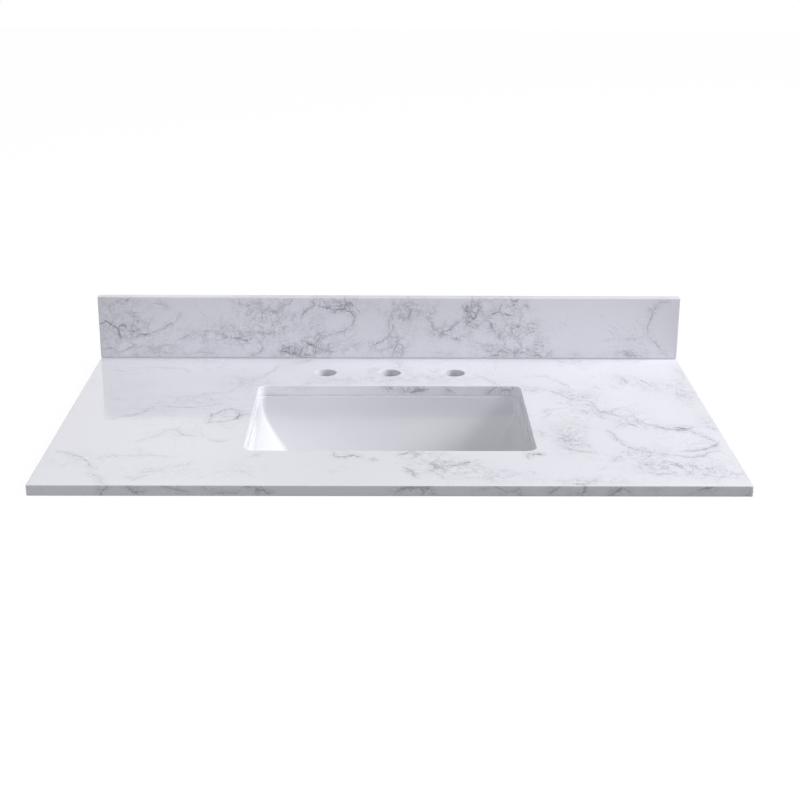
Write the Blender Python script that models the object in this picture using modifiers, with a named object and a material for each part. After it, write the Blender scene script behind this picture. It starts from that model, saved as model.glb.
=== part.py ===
"""Bathroom vanity top: a stone slab, its backsplash and an undermount ceramic basin.

Metres, +Z up. X = 0 is the centre line, Y = 0 the wall behind the slab and Z = 0 the underside of the
slab, where it lies on its cabinet. The front edge faces -Y.
"""

import math

import bmesh
import bpy
from mathutils import Vector

# Stone slab
TOP_WIDTH = 0.9398
TOP_DEPTH = 0.5588
TOP_THICKNESS = 0.015
TOP_CORNER_RADIUS = 0.002
EASED_EDGE = 0.0012

# Cutout for the basin, and its distance from the wall
CUTOUT_WIDTH = 0.402
CUTOUT_DEPTH = 0.279
CUTOUT_RADIUS = 0.014
CUTOUT_SETBACK = 0.1538

# Widespread tap holes: a spout between two handles
TAP_HOLE_RADIUS = 0.0175
TAP_SPREAD = 0.2032
TAP_SETBACK = 0.0889

# Backsplash strip, bedded on a thin joint
SPLASH_HEIGHT = 0.1016
SPLASH_THICKNESS = 0.015
SPLASH_JOINT = 0.0014
SPLASH_SEALANT_INSET = 0.002

# Basin: rim, walls and floor
BASIN_JOINT = 0.002
BASIN_SEALANT_INSET = 0.003
REVEAL = 0.001
FLANGE_WIDTH = 0.029
FLANGE_THICKNESS = 0.012
FLANGE_CORNER_RADIUS = 0.030
FLANGE_ROUND = 0.003
FLANGE_COVE = 0.007
LIP_RADIUS = 0.0025
BASIN_WALL = 0.009
BOWL_DEPTH = 0.134
WALL_DROP = 0.032
WALL_EASE = 0.016
SIDE_LEAN = math.radians(33)
END_LEAN = math.radians(25)
FOOT_RADIUS = 0.045
MOUTH_CORNER_RADIUS = 0.015
FLOOR_CORNER_RADIUS = 0.055
CORNER_LATENESS = 4.0
MOST_CORNER_SHARE = 0.85
FLOOR_BOW = 0.008
FLOOR_FALL = 0.003
FLOOR_TILT = math.radians(4)

# Drain: a recess for the drain's flange, a bore and a boss below
DRAIN_RECESS_RADIUS = 0.032
DRAIN_RECESS_DEPTH = 0.003
DRAIN_BORE_RADIUS = 0.0225
DRAIN_BOSS_RADIUS = 0.038
DRAIN_BOSS_DROP = 0.010
DRAIN_BOSS_ROUND = 0.002

# Overflow: an oval inlet in the front wall, and a duct to the drain bore
INLET_WIDTH = 0.028
INLET_HEIGHT = 0.012
INLET_DEPTH = 0.036
DUCT_WIDTH = 0.038
DUCT_GAP = 0.010
DUCT_HEADROOM = 0.012
HOUSING_WALL = 0.007
HOUSING_BITE = 0.004

# Sink clips: an anchor in the slab, a stud, a bridge clip, a washer and a wing nut
CLIP_END_DISTANCE = 0.085
CLIP_WIDTH = 0.020
CLIP_STRIP = 0.002
CLIP_BEND_RADIUS = 0.003
CLIP_GRIP = 0.010
CLIP_STUD_GAP = 0.009
CLIP_HEEL = 0.016
CLIP_SLOT_LENGTH = 0.014
STUD_RADIUS = 0.003
STUD_TAIL = 0.016
STUD_CHAMFER = 0.0008
ANCHOR_WALL = 0.0016
ANCHOR_LENGTH = 0.0085
WASHER_RADIUS = 0.008
WASHER_THICKNESS = 0.0012
NUT_HUB_RADIUS = 0.0062
NUT_NECK_RADIUS = 0.0048
NUT_HEIGHT = 0.0075
WING_SPAN = 0.028
WING_RISE = 0.0125
WING_THICKNESS = 0.0024

# Clearances and cutter overrun
SEAT_GAP = 0.0003
CUT_OVERRUN = 0.004
SAME_POINT = 0.000001

# How finely curves are drawn
CORNER_STEPS = 8
SIDE_STEPS = 6
WALL_STEPS = 9
FOOT_STEPS = 6
ROUND_STEPS = 3
TAP_HOLE_SIDES = 48
DRAIN_SIDES = 56
SMALL_SIDES = 24
DUCT_FLOOR_STEPS = 3
SMOOTH_ANGLE = math.radians(35)

STONE_COLOUR = (0.80, 0.80, 0.82, 1)
CERAMIC_COLOUR = (0.88, 0.88, 0.88, 1)
SILICONE_COLOUR = (0.80, 0.80, 0.79, 1)
BRASS_COLOUR = (0.72, 0.53, 0.25, 1)
ZINC_COLOUR = (0.62, 0.63, 0.65, 1)

# Levels and places worked out from the sizes above
RIM_LEVEL = -BASIN_JOINT
BOWL_Y = -CUTOUT_SETBACK - CUTOUT_DEPTH / 2
MOUTH_HALF_WIDTH = CUTOUT_WIDTH / 2 - REVEAL
MOUTH_HALF_DEPTH = CUTOUT_DEPTH / 2 - REVEAL
DRAIN_DEPTH = BOWL_DEPTH + FLOOR_FALL
RECESS_DEPTH = DRAIN_DEPTH + DRAIN_RECESS_DEPTH
DUCT_OFFSET = BASIN_WALL + DUCT_GAP / 2
HOUSING_OUTSIDE = BASIN_WALL + DUCT_GAP + HOUSING_WALL
HOUSING_INSIDE = BASIN_WALL - HOUSING_BITE
BOSS_DEPTH = DRAIN_DEPTH + HOUSING_OUTSIDE + DRAIN_BOSS_DROP
FLANGE_UNDERSIDE = RIM_LEVEL - FLANGE_THICKNESS
CLIP_TOP = FLANGE_UNDERSIDE - SEAT_GAP
CLIP_BOTTOM = CLIP_TOP - CLIP_STRIP
WASHER_TOP = CLIP_BOTTOM - SEAT_GAP
NUT_TOP = WASHER_TOP - WASHER_THICKNESS - SEAT_GAP
BORE_RADIUS = STUD_RADIUS + SEAT_GAP
ANCHOR_RADIUS = BORE_RADIUS + ANCHOR_WALL


def clear_scene():
    for found in list(bpy.data.objects):
        bpy.data.objects.remove(found)


def new_collection(name):
    made = bpy.data.collections.new(name)
    bpy.context.scene.collection.children.link(made)
    return made


def new_material(name, colour, roughness, metallic=0.0):
    made = bpy.data.materials.new(name)
    made.use_nodes = True
    shader = made.node_tree.nodes["Principled BSDF"]
    shader.inputs["Base Color"].default_value = colour
    shader.inputs["Roughness"].default_value = roughness
    shader.inputs["Metallic"].default_value = metallic
    made.diffuse_color = colour
    return made


def new_object(name, mesh, collection, material=None):
    made = bpy.data.objects.new(name, mesh)
    collection.objects.link(made)
    if material and not mesh.materials:
        mesh.materials.append(material)
    return made


def as_cutter(tool):
    tool.hide_render = True
    tool.display_type = "WIRE"
    return tool


def shade(mesh):
    mesh.shade_smooth()
    mesh.set_sharp_from_angle(angle=SMOOTH_ANGLE)
    return mesh


def mesh_from(name, builder):
    """A new mesh from a bmesh builder, with its faces turned outwards."""
    mesh = bpy.data.meshes.new(name)
    shape = bmesh.new()
    builder(shape)
    bmesh.ops.recalc_face_normals(shape, faces=shape.faces)
    shape.to_mesh(mesh)
    shape.free()
    return shade(mesh)


def arc_points(centre, radius, start, end, steps):
    """Points on an arc, from start to end in radians, both ends included."""
    turns = (start + (end - start) * step / steps for step in range(steps + 1))
    return [(centre[0] + radius * math.cos(turn), centre[1] + radius * math.sin(turn)) for turn in turns]


def without_repeats(outline):
    """Leaves out each point that lies on the one before it, as where a straight side has no length."""
    pairs = zip([outline[-1], *outline[:-1]], outline)
    return [point for before, point in pairs if math.dist(before, point) > SAME_POINT]


def rounded_rectangle(half_width, half_depth, radius, bow=0.0):
    """A closed outline with round corners, anticlockwise. Bow pushes the middle of each side outwards."""
    radius = min(radius, half_width, half_depth)
    flat_x, flat_y = half_width - radius, half_depth - radius
    corners = ((flat_x, flat_y), (-flat_x, flat_y), (-flat_x, -flat_y), (flat_x, -flat_y))
    outline = []
    for quarter, corner in enumerate(corners):
        start = quarter * math.pi / 2
        arc = arc_points(corner, radius, start, start + math.pi / 2, CORNER_STEPS)
        following = Vector(corners[(quarter + 1) % len(corners)])
        side_start, side_turn = Vector(arc[-1]), start + math.pi / 2
        side_end = following + Vector((math.cos(side_turn), math.sin(side_turn))) * radius
        outline += arc
        outline += [tuple(side_start.lerp(side_end, step / SIDE_STEPS)) for step in range(1, SIDE_STEPS)]
    return [
        (
            x + bow * (1 - (y / half_depth) ** 2) * x / half_width,
            y + bow * (1 - (x / half_width) ** 2) * y / half_depth,
        )
        for x, y in without_repeats(outline)
    ]


def loft(name, rings):
    """A closed mesh through rings of equally many points, capped at both ends."""

    def build(shape):
        loops = [[shape.verts.new(point) for point in ring] for ring in rings]
        for upper, lower in zip(loops, loops[1:]):
            for index in range(len(upper)):
                after = (index + 1) % len(upper)
                shape.faces.new((upper[index], upper[after], lower[after], lower[index]))
        shape.faces.new(loops[0])
        shape.faces.new(loops[-1])

    return mesh_from(name, build)


def prism(name, outline, bottom, top, ease=0.0, flare=0.0):
    """A loft of one outline function between two levels. Ease draws the top edge in, flare opens it out."""
    rings = [[(x, y, bottom) for x, y in outline(0.0)]]
    if ease:
        rings += [[(x, y, top - ease) for x, y in outline(0.0)], [(x, y, top) for x, y in outline(-ease)]]
    elif flare:
        rings += [
            [(x, y, TOP_THICKNESS - flare) for x, y in outline(0.0)],
            [(x, y, top) for x, y in outline(top - TOP_THICKNESS + flare)],
        ]
    else:
        rings += [[(x, y, top) for x, y in outline(0.0)]]
    return loft(name, rings)


def turned(name, profile, collection, sides, material=None):
    """A profile of (radius, height) points, listed from the top down, turned about Z by a Screw modifier."""
    mesh = bpy.data.meshes.new(name)
    points = [(radius, 0.0, height) for radius, height in profile]
    closed = profile[0][0] > 0
    edges = [(index, index + 1) for index in range(len(points) - 1)]
    if closed:
        edges.append((len(points) - 1, 0))
    mesh.from_pydata(points, edges, [])
    made = new_object(name, mesh, collection, material)
    screw = made.modifiers.new("turn", "SCREW")
    screw.steps = screw.render_steps = sides
    screw.use_merge_vertices = True
    screw.merge_threshold = SAME_POINT
    return made


def flat_piece(name, outlines, thickness, collection, material=None):
    """A flat outline, with any holes after it, as a filled 2D curve of this thickness."""
    curve = bpy.data.curves.new(name, "CURVE")
    curve.dimensions = "2D"
    curve.fill_mode = "BOTH"
    curve.extrude = thickness / 2
    for outline in outlines:
        spline = curve.splines.new("POLY")
        spline.points.add(len(outline) - 1)
        for point, (x, y) in zip(spline.points, outline):
            point.co = (x, y, 0.0, 1.0)
        spline.use_cyclic_u = True
    made = bpy.data.objects.new(name, curve)
    collection.objects.link(made)
    if material:
        curve.materials.append(material)
    return made


def evaluated_mesh(source, name):
    """A welded mesh of what an object's curve or modifiers make, in the object's own space."""
    bpy.context.view_layer.update()
    graph = bpy.context.evaluated_depsgraph_get()
    mesh = bpy.data.meshes.new_from_object(source.evaluated_get(graph))
    mesh.name = name
    shape = bmesh.new()
    shape.from_mesh(mesh)
    bmesh.ops.remove_doubles(shape, verts=shape.verts, dist=SAME_POINT)
    bmesh.ops.recalc_face_normals(shape, faces=shape.faces)
    shape.to_mesh(mesh)
    shape.free()
    return shade(mesh)


def freeze(source, name):
    """The source's evaluated mesh. The source and anything it was cut with are removed."""
    mesh = evaluated_mesh(source, name)
    tools = [modifier.object for modifier in source.modifiers if modifier.type == "BOOLEAN"]
    for spent in [source, *tools]:
        bpy.data.objects.remove(spent)
    return mesh


def add_boolean(target, tool, operation):
    modifier = target.modifiers.new(tool.name, "BOOLEAN")
    modifier.operation = operation
    modifier.object = tool
    return modifier


def moved(outline, x, y):
    return [(px + x, py + y) for px, py in outline]


def circle_outline(x, y, radius, sides):
    turns = (2 * math.pi * side / sides for side in range(sides))
    return [(x + radius * math.cos(turn), y + radius * math.sin(turn)) for turn in turns]


def cutout_outline(grow):
    outline = rounded_rectangle(CUTOUT_WIDTH / 2 + grow, CUTOUT_DEPTH / 2 + grow, CUTOUT_RADIUS + grow)
    return moved(outline, 0.0, BOWL_Y)


def clip_places():
    """The four studs, by the basin's short sides. Gives x, y and the turn that faces the basin."""
    stud_x = CUTOUT_WIDTH / 2 - REVEAL + FLANGE_WIDTH + CLIP_STUD_GAP
    for side, side_name, turn in ((-1, "left", 0.0), (1, "right", math.pi)):
        for end, end_name in ((-1, "front"), (1, "rear")):
            yield f"{end_name}_{side_name}", side * stud_x, BOWL_Y + end * CLIP_END_DISTANCE, turn


def make_stone_top(parts, cutters, stone):
    def edge_outline(grow):
        outline = rounded_rectangle(TOP_WIDTH / 2 + grow, TOP_DEPTH / 2 + grow, TOP_CORNER_RADIUS)
        return moved(outline, 0.0, -TOP_DEPTH / 2)

    mesh = prism("stone_top", edge_outline, 0.0, TOP_THICKNESS, ease=EASED_EDGE)
    slab = new_object("stone_top", mesh, parts, stone)
    through = (-CUT_OVERRUN, TOP_THICKNESS + CUT_OVERRUN)
    cutout = prism("basin_cutout", cutout_outline, *through, flare=EASED_EDGE)
    add_boolean(slab, as_cutter(new_object("basin_cutout", cutout, cutters)), "DIFFERENCE")
    for name, place in (("left", -TAP_SPREAD / 2), ("spout", 0.0), ("right", TAP_SPREAD / 2)):

        def hole_outline(grow, x=place):
            return circle_outline(x, -TAP_SETBACK, TAP_HOLE_RADIUS + grow, TAP_HOLE_SIDES)

        hole = prism(f"tap_hole_{name}", hole_outline, *through, flare=EASED_EDGE / 2)
        add_boolean(slab, as_cutter(new_object(f"tap_hole_{name}", hole, cutters)), "DIFFERENCE")
    for name, x, y, _ in clip_places():

        def anchor_outline(grow, x=x, y=y):
            return circle_outline(x, y, ANCHOR_RADIUS + SEAT_GAP + grow, SMALL_SIDES)

        pocket = prism(f"anchor_hole_{name}", anchor_outline, -CUT_OVERRUN, ANCHOR_LENGTH + 2 * SEAT_GAP)
        add_boolean(slab, as_cutter(new_object(f"anchor_hole_{name}", pocket, cutters)), "DIFFERENCE")
    return slab


def make_backsplash(parts, stone, silicone):
    def strip_outline(grow):
        outline = rounded_rectangle(TOP_WIDTH / 2 + grow, SPLASH_THICKNESS / 2 + grow, EASED_EDGE)
        return moved(outline, 0.0, -SPLASH_THICKNESS / 2)

    foot = TOP_THICKNESS + SPLASH_JOINT
    mesh = prism("backsplash", strip_outline, foot, foot + SPLASH_HEIGHT, ease=EASED_EDGE)
    new_object("backsplash", mesh, parts, stone)
    inset = SPLASH_SEALANT_INSET
    bead = rounded_rectangle(TOP_WIDTH / 2 - inset, SPLASH_THICKNESS / 2 - inset, inset)
    sealant = flat_piece("backsplash_sealant", [bead], SPLASH_JOINT - 2 * SEAT_GAP, parts, silicone)
    sealant.location = (0.0, -SPLASH_THICKNESS / 2, TOP_THICKNESS + SPLASH_JOINT / 2)


def ramp(distance):
    """Zero above the start of the lean, then as deep as the distance, with an eased bend between."""
    return (distance + math.hypot(distance, WALL_EASE)) / 2


def wall_inset(depth, lean, thickness=0.0):
    """How far the bowl's wall stands in from its mouth at a depth, or its outside, a wall thickness out."""
    foot_radius = FOOT_RADIUS + thickness
    floor_depth = BOWL_DEPTH + thickness
    foot_start = floor_depth - foot_radius * (1 - math.sin(lean))
    straight = math.tan(lean) * ramp(min(depth, foot_start) - WALL_DROP) - thickness / math.cos(lean)
    if depth <= foot_start:
        return straight
    turn = math.asin(min(1.0, (depth - floor_depth) / foot_radius + 1))
    return straight + foot_radius * (math.cos(lean) - math.cos(turn))


def depth_share(depth):
    return max(0.0, min(1.0, depth / BOWL_DEPTH))


def bowl_ring(inset_x, inset_y, depth, corner, bow):
    """One level section of the basin, at a depth below its rim."""
    half_width = MOUTH_HALF_WIDTH - inset_x - bow
    half_depth = MOUTH_HALF_DEPTH - inset_y - bow
    corner = min(corner, MOST_CORNER_SHARE * min(half_width, half_depth))
    outline = rounded_rectangle(half_width, half_depth, corner, bow)
    return [(x, y + BOWL_Y, RIM_LEVEL - depth) for x, y in outline]


def wall_ring(depth, thickness=0.0):
    share = depth_share(depth)
    widening = (FLOOR_CORNER_RADIUS - MOUTH_CORNER_RADIUS) * share**CORNER_LATENESS
    corner = MOUTH_CORNER_RADIUS + widening + thickness
    inset_x = wall_inset(depth, SIDE_LEAN, thickness)
    inset_y = wall_inset(depth, END_LEAN, thickness)
    return bowl_ring(inset_x, inset_y, depth, corner, FLOOR_BOW * share)


def ring_to_circle(ring, radius, depth, share):
    """A ring drawn part of the way to a circle about the drain."""
    made = []
    for x, y, z in ring:
        turn = math.atan2(y - BOWL_Y, x)
        goal = Vector((radius * math.cos(turn), BOWL_Y + radius * math.sin(turn), RIM_LEVEL - depth))
        made.append(tuple(Vector((x, y, z)).lerp(goal, share)))
    return made


def wall_depths(thickness=0.0):
    """Depths of the rings down the straight wall and round its foot, which ends a little short of level."""
    foot_radius = FOOT_RADIUS + thickness
    floor_depth = BOWL_DEPTH + thickness
    lean = max(SIDE_LEAN, END_LEAN)
    top = LIP_RADIUS if not thickness else FLANGE_THICKNESS + FLANGE_COVE
    foot_start = floor_depth - foot_radius * (1 - math.sin(lean))
    depths = [top + (foot_start - top) * step / WALL_STEPS for step in range(WALL_STEPS)]
    foot_end = math.pi / 2 - FLOOR_TILT
    for step in range(FOOT_STEPS + 1):
        turn = lean + (foot_end - lean) * step / FOOT_STEPS
        depths.append(floor_depth - foot_radius * (1 - math.sin(turn)))
    return depths


def bowl_hollow_rings():
    """The inside of the bowl, from above its rim down to the floor of the drain recess."""
    rings = [bowl_ring(-LIP_RADIUS, -LIP_RADIUS, -CUT_OVERRUN, MOUTH_CORNER_RADIUS + LIP_RADIUS, 0.0)]
    for step in range(ROUND_STEPS):
        turn = math.pi / 2 * step / ROUND_STEPS
        back = LIP_RADIUS * (1 - math.sin(turn))
        depth = LIP_RADIUS * (1 - math.cos(turn))
        rings.append(bowl_ring(-back, -back, depth, MOUTH_CORNER_RADIUS + back, 0.0))
    rings += [wall_ring(depth) for depth in wall_depths()]
    floor_edge = rings[-1]
    rings.append(ring_to_circle(floor_edge, DRAIN_RECESS_RADIUS, DRAIN_DEPTH, 0.5))
    rings.append(ring_to_circle(floor_edge, DRAIN_RECESS_RADIUS, DRAIN_DEPTH, 1.0))
    rings.append(ring_to_circle(floor_edge, DRAIN_RECESS_RADIUS, RECESS_DEPTH, 1.0))
    return rings


def basin_outside_rings():
    """The outside of the basin: the flange, the cove under it, the walls and the floor."""
    rings = []
    flange_profile = [(-FLANGE_WIDTH, 0.0)]
    for step in range(ROUND_STEPS + 1):
        turn = math.pi / 2 * step / ROUND_STEPS
        flange_profile.append(
            (
                -FLANGE_WIDTH + FLANGE_ROUND * (1 - math.cos(turn)),
                FLANGE_THICKNESS - FLANGE_ROUND * (1 - math.sin(turn)),
            )
        )
    for inset, depth in flange_profile:
        corner = FLANGE_CORNER_RADIUS - (inset + FLANGE_WIDTH)
        rings.append(bowl_ring(inset, inset, depth, corner, 0.0))
    cove_depth = FLANGE_THICKNESS + FLANGE_COVE
    wall_x = wall_inset(cove_depth, SIDE_LEAN, BASIN_WALL)
    wall_y = wall_inset(cove_depth, END_LEAN, BASIN_WALL)
    cove_corner = MOUTH_CORNER_RADIUS + BASIN_WALL
    for step in range(ROUND_STEPS):
        turn = math.pi / 2 * step / ROUND_STEPS
        back = FLANGE_COVE * (1 - math.sin(turn))
        depth = FLANGE_THICKNESS + FLANGE_COVE * (1 - math.cos(turn))
        rings.append(bowl_ring(wall_x - back, wall_y - back, depth, cove_corner + back, 0.0))
    rings += [wall_ring(depth, BASIN_WALL) for depth in wall_depths(BASIN_WALL)]
    rings.append(ring_to_circle(rings[-1], DRAIN_BOSS_RADIUS, DRAIN_DEPTH + BASIN_WALL, 1.0))
    return rings


def duct_path(first_depth, last_reach):
    """Points and outward directions down the front wall and under the floor, on the bowl's inside."""
    foot_start = BOWL_DEPTH - FOOT_RADIUS * (1 - math.sin(END_LEAN))
    path = []
    for step in range(WALL_STEPS):
        depth = first_depth + (foot_start - first_depth) * step / WALL_STEPS
        path.append((wall_inset(depth, END_LEAN), depth, END_LEAN))
    foot_end = math.pi / 2 - FLOOR_TILT
    for step in range(FOOT_STEPS + 1):
        turn = END_LEAN + (foot_end - END_LEAN) * step / FOOT_STEPS
        depth = BOWL_DEPTH - FOOT_RADIUS * (1 - math.sin(turn))
        path.append((wall_inset(depth, END_LEAN), depth, turn))
    edge_inset, edge_depth, _ = path[-1]
    for step in range(1, DUCT_FLOOR_STEPS + 1):
        share = step / DUCT_FLOOR_STEPS
        inset = edge_inset + (MOUTH_HALF_DEPTH - last_reach - edge_inset) * share
        path.append((inset, edge_depth + (DRAIN_DEPTH - edge_depth) * share, math.pi / 2))
    return [
        (
            Vector((0.0, BOWL_Y - MOUTH_HALF_DEPTH + inset, RIM_LEVEL - depth)),
            Vector((0.0, -math.cos(turn), -math.sin(turn))),
        )
        for inset, depth, turn in path
    ]


def swept_duct(name, path, half_width, nearest, farthest, radius):
    """A flat tube along the path, from a nearest to a farthest distance outside the bowl's inner face."""
    middle, half_gap = (nearest + farthest) / 2, (farthest - nearest) / 2
    outline = rounded_rectangle(half_width, half_gap, radius)
    rings = []
    for point, outwards in path:
        centre = point + outwards * middle
        rings.append([tuple(centre + Vector((x, 0.0, 0.0)) + outwards * y) for x, y in outline])
    return loft(name, rings)


def make_basin(parts, cutters, ceramic):
    basin = new_object("basin", loft("basin", basin_outside_rings()), parts, ceramic)

    housing_path = duct_path(FLANGE_THICKNESS / 2, DRAIN_BOSS_RADIUS / 2)
    housing_half_width = DUCT_WIDTH / 2 + HOUSING_WALL
    housing = swept_duct(
        "overflow_housing", housing_path, housing_half_width, HOUSING_INSIDE, HOUSING_OUTSIDE, HOUSING_WALL
    )
    add_boolean(basin, as_cutter(new_object("overflow_housing", housing, cutters)), "UNION")

    boss_top = RIM_LEVEL - DRAIN_DEPTH - BASIN_WALL / 2
    boss_foot = RIM_LEVEL - BOSS_DEPTH
    boss_profile = [
        (0.0, boss_top),
        (DRAIN_BOSS_RADIUS, boss_top),
        (DRAIN_BOSS_RADIUS, boss_foot + DRAIN_BOSS_ROUND),
        (DRAIN_BOSS_RADIUS - DRAIN_BOSS_ROUND, boss_foot),
        (0.0, boss_foot),
    ]
    boss = turned("drain_boss", boss_profile, cutters, DRAIN_SIDES)
    boss.location = (0.0, BOWL_Y, 0.0)
    add_boolean(basin, as_cutter(boss), "UNION")

    hollow = new_object("bowl_hollow", loft("bowl_hollow", bowl_hollow_rings()), cutters)
    add_boolean(basin, as_cutter(hollow), "DIFFERENCE")

    duct_start = INLET_DEPTH - DUCT_HEADROOM
    duct_end = DRAIN_BORE_RADIUS / 2
    duct = swept_duct(
        "overflow_duct",
        duct_path(duct_start, duct_end),
        DUCT_WIDTH / 2,
        BASIN_WALL,
        BASIN_WALL + DUCT_GAP,
        DUCT_GAP / 2,
    )
    add_boolean(basin, as_cutter(new_object("overflow_duct", duct, cutters)), "DIFFERENCE")

    oval = rounded_rectangle(INLET_WIDTH / 2, INLET_HEIGHT / 2, INLET_HEIGHT / 2)
    wall_face = BOWL_Y - MOUTH_HALF_DEPTH + wall_inset(INLET_DEPTH, END_LEAN)
    inlet_level = RIM_LEVEL - INLET_DEPTH
    inlet_ends = (wall_face - DUCT_OFFSET, wall_face + CUT_OVERRUN)
    inlet_rings = [[(x, y, inlet_level + z) for x, z in oval] for y in inlet_ends]
    inlet = new_object("overflow_inlet", loft("overflow_inlet", inlet_rings), cutters)
    add_boolean(basin, as_cutter(inlet), "DIFFERENCE")

    bore_profile = [
        (0.0, RIM_LEVEL - DRAIN_DEPTH),
        (DRAIN_BORE_RADIUS, RIM_LEVEL - DRAIN_DEPTH),
        (DRAIN_BORE_RADIUS, boss_foot - CUT_OVERRUN),
        (0.0, boss_foot - CUT_OVERRUN),
    ]
    bore = turned("drain_bore", bore_profile, cutters, DRAIN_SIDES)
    bore.location = (0.0, BOWL_Y, 0.0)
    add_boolean(basin, as_cutter(bore), "DIFFERENCE")
    return basin


def make_basin_sealant(parts, silicone):
    outer = rounded_rectangle(
        MOUTH_HALF_WIDTH + FLANGE_WIDTH - BASIN_SEALANT_INSET,
        MOUTH_HALF_DEPTH + FLANGE_WIDTH - BASIN_SEALANT_INSET,
        FLANGE_CORNER_RADIUS - BASIN_SEALANT_INSET,
    )
    grow = REVEAL + LIP_RADIUS
    inner = rounded_rectangle(MOUTH_HALF_WIDTH + grow, MOUTH_HALF_DEPTH + grow, MOUTH_CORNER_RADIUS + grow)
    bead = flat_piece("basin_sealant", [outer, inner], BASIN_JOINT - 2 * SEAT_GAP, parts, silicone)
    bead.location = (0.0, BOWL_Y, RIM_LEVEL / 2)


def strip_outline():
    """Side view of a bridge clip, with the stud at 0. The toe grips the flange, and the heel turns up."""
    toe = CLIP_STUD_GAP + CLIP_GRIP
    heel_top = -SEAT_GAP
    outer_radius = CLIP_BEND_RADIUS + CLIP_STRIP
    bend = (-CLIP_HEEL + outer_radius, CLIP_BOTTOM + outer_radius)
    outer_bend = arc_points(bend, outer_radius, 1.5 * math.pi, math.pi, ROUND_STEPS)
    inner_bend = arc_points(bend, CLIP_BEND_RADIUS, math.pi, 1.5 * math.pi, ROUND_STEPS)
    return [
        (toe, CLIP_TOP),
        (toe, CLIP_BOTTOM),
        *outer_bend,
        (-CLIP_HEEL, heel_top),
        (-CLIP_HEEL + CLIP_STRIP, heel_top),
        *inner_bend,
    ]


def clip_mesh(cutters):
    """A strip seen from its side, stood up so that its width runs along Y, with a slot for the stud."""
    strip = flat_piece("clip_strip", [strip_outline()], CLIP_WIDTH, cutters)
    strip.rotation_euler = (math.pi / 2, 0.0, 0.0)
    bpy.context.view_layer.update()
    mesh = evaluated_mesh(strip, "clip")
    mesh.transform(strip.matrix_world)
    bpy.data.objects.remove(strip)
    body = new_object("clip_body", mesh, cutters)
    slot_outline = rounded_rectangle(CLIP_SLOT_LENGTH / 2, BORE_RADIUS, BORE_RADIUS)
    slot_ends = (CLIP_TOP + CUT_OVERRUN, CLIP_BOTTOM - CUT_OVERRUN)
    slot_rings = [[(x, y, z) for x, y in slot_outline] for z in slot_ends]
    slot = new_object("clip_slot", loft("clip_slot", slot_rings), cutters)
    add_boolean(body, slot, "DIFFERENCE")
    return freeze(body, "clip")


def wing_outline():
    """One wing, seen flat: from inside the hub it climbs outwards to a round ear."""
    ear = WING_RISE * 0.36
    reach = WING_SPAN / 2
    root = NUT_HEIGHT * 0.75
    ear_centre = (reach - ear, -WING_RISE + ear)
    return [
        (NUT_NECK_RADIUS * 0.8, -NUT_HEIGHT + root),
        (NUT_HUB_RADIUS, -NUT_HEIGHT + root),
        *arc_points(ear_centre, ear, math.radians(20), math.radians(-150), SMALL_SIDES // 3),
        (NUT_NECK_RADIUS * 0.8, -NUT_HEIGHT + SEAT_GAP),
    ]


def wing_nut_mesh(cutters):
    """A tapered hub with two wings, bored for the stud, hanging down from Z = 0."""
    hub_profile = [
        (0.0, 0.0),
        (NUT_HUB_RADIUS, 0.0),
        (NUT_NECK_RADIUS, -NUT_HEIGHT),
        (0.0, -NUT_HEIGHT),
    ]
    hub = turned("nut_hub", hub_profile, cutters, SMALL_SIDES)
    for side, turn in (("a", 0.0), ("b", math.pi)):
        wing = flat_piece("nut_wing", [wing_outline()], WING_THICKNESS, cutters)
        wing.rotation_euler = (math.pi / 2, 0.0, turn)
        bpy.context.view_layer.update()
        mesh = evaluated_mesh(wing, "nut_wing")
        mesh.transform(wing.matrix_world)
        bpy.data.objects.remove(wing)
        add_boolean(hub, new_object(f"nut_wing_{side}", mesh, cutters), "UNION")
    bore_profile = [
        (0.0, CUT_OVERRUN),
        (BORE_RADIUS, CUT_OVERRUN),
        (BORE_RADIUS, -NUT_HEIGHT - CUT_OVERRUN),
        (0.0, -NUT_HEIGHT - CUT_OVERRUN),
    ]
    add_boolean(hub, turned("nut_bore", bore_profile, cutters, SMALL_SIDES), "DIFFERENCE")
    return freeze(hub, "wing_nut")


def ring_mesh(name, inner, outer, bottom, top, cutters):
    """A plain ring with a hole, such as a washer or an anchor."""
    profile = [(inner, top), (outer, top), (outer, bottom), (inner, bottom)]
    return freeze(turned(name, profile, cutters, SMALL_SIDES), name)


def stud_mesh(cutters):
    """A threaded rod's plain cylinder, chamfered at both ends, from the anchor down past the wing nut."""
    top = ANCHOR_LENGTH
    foot = NUT_TOP - STUD_TAIL
    profile = [
        (0.0, top),
        (STUD_RADIUS - STUD_CHAMFER, top),
        (STUD_RADIUS, top - STUD_CHAMFER),
        (STUD_RADIUS, foot + STUD_CHAMFER),
        (STUD_RADIUS - STUD_CHAMFER, foot),
        (0.0, foot),
    ]
    return freeze(turned("stud", profile, cutters, SMALL_SIDES), "stud")


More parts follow.
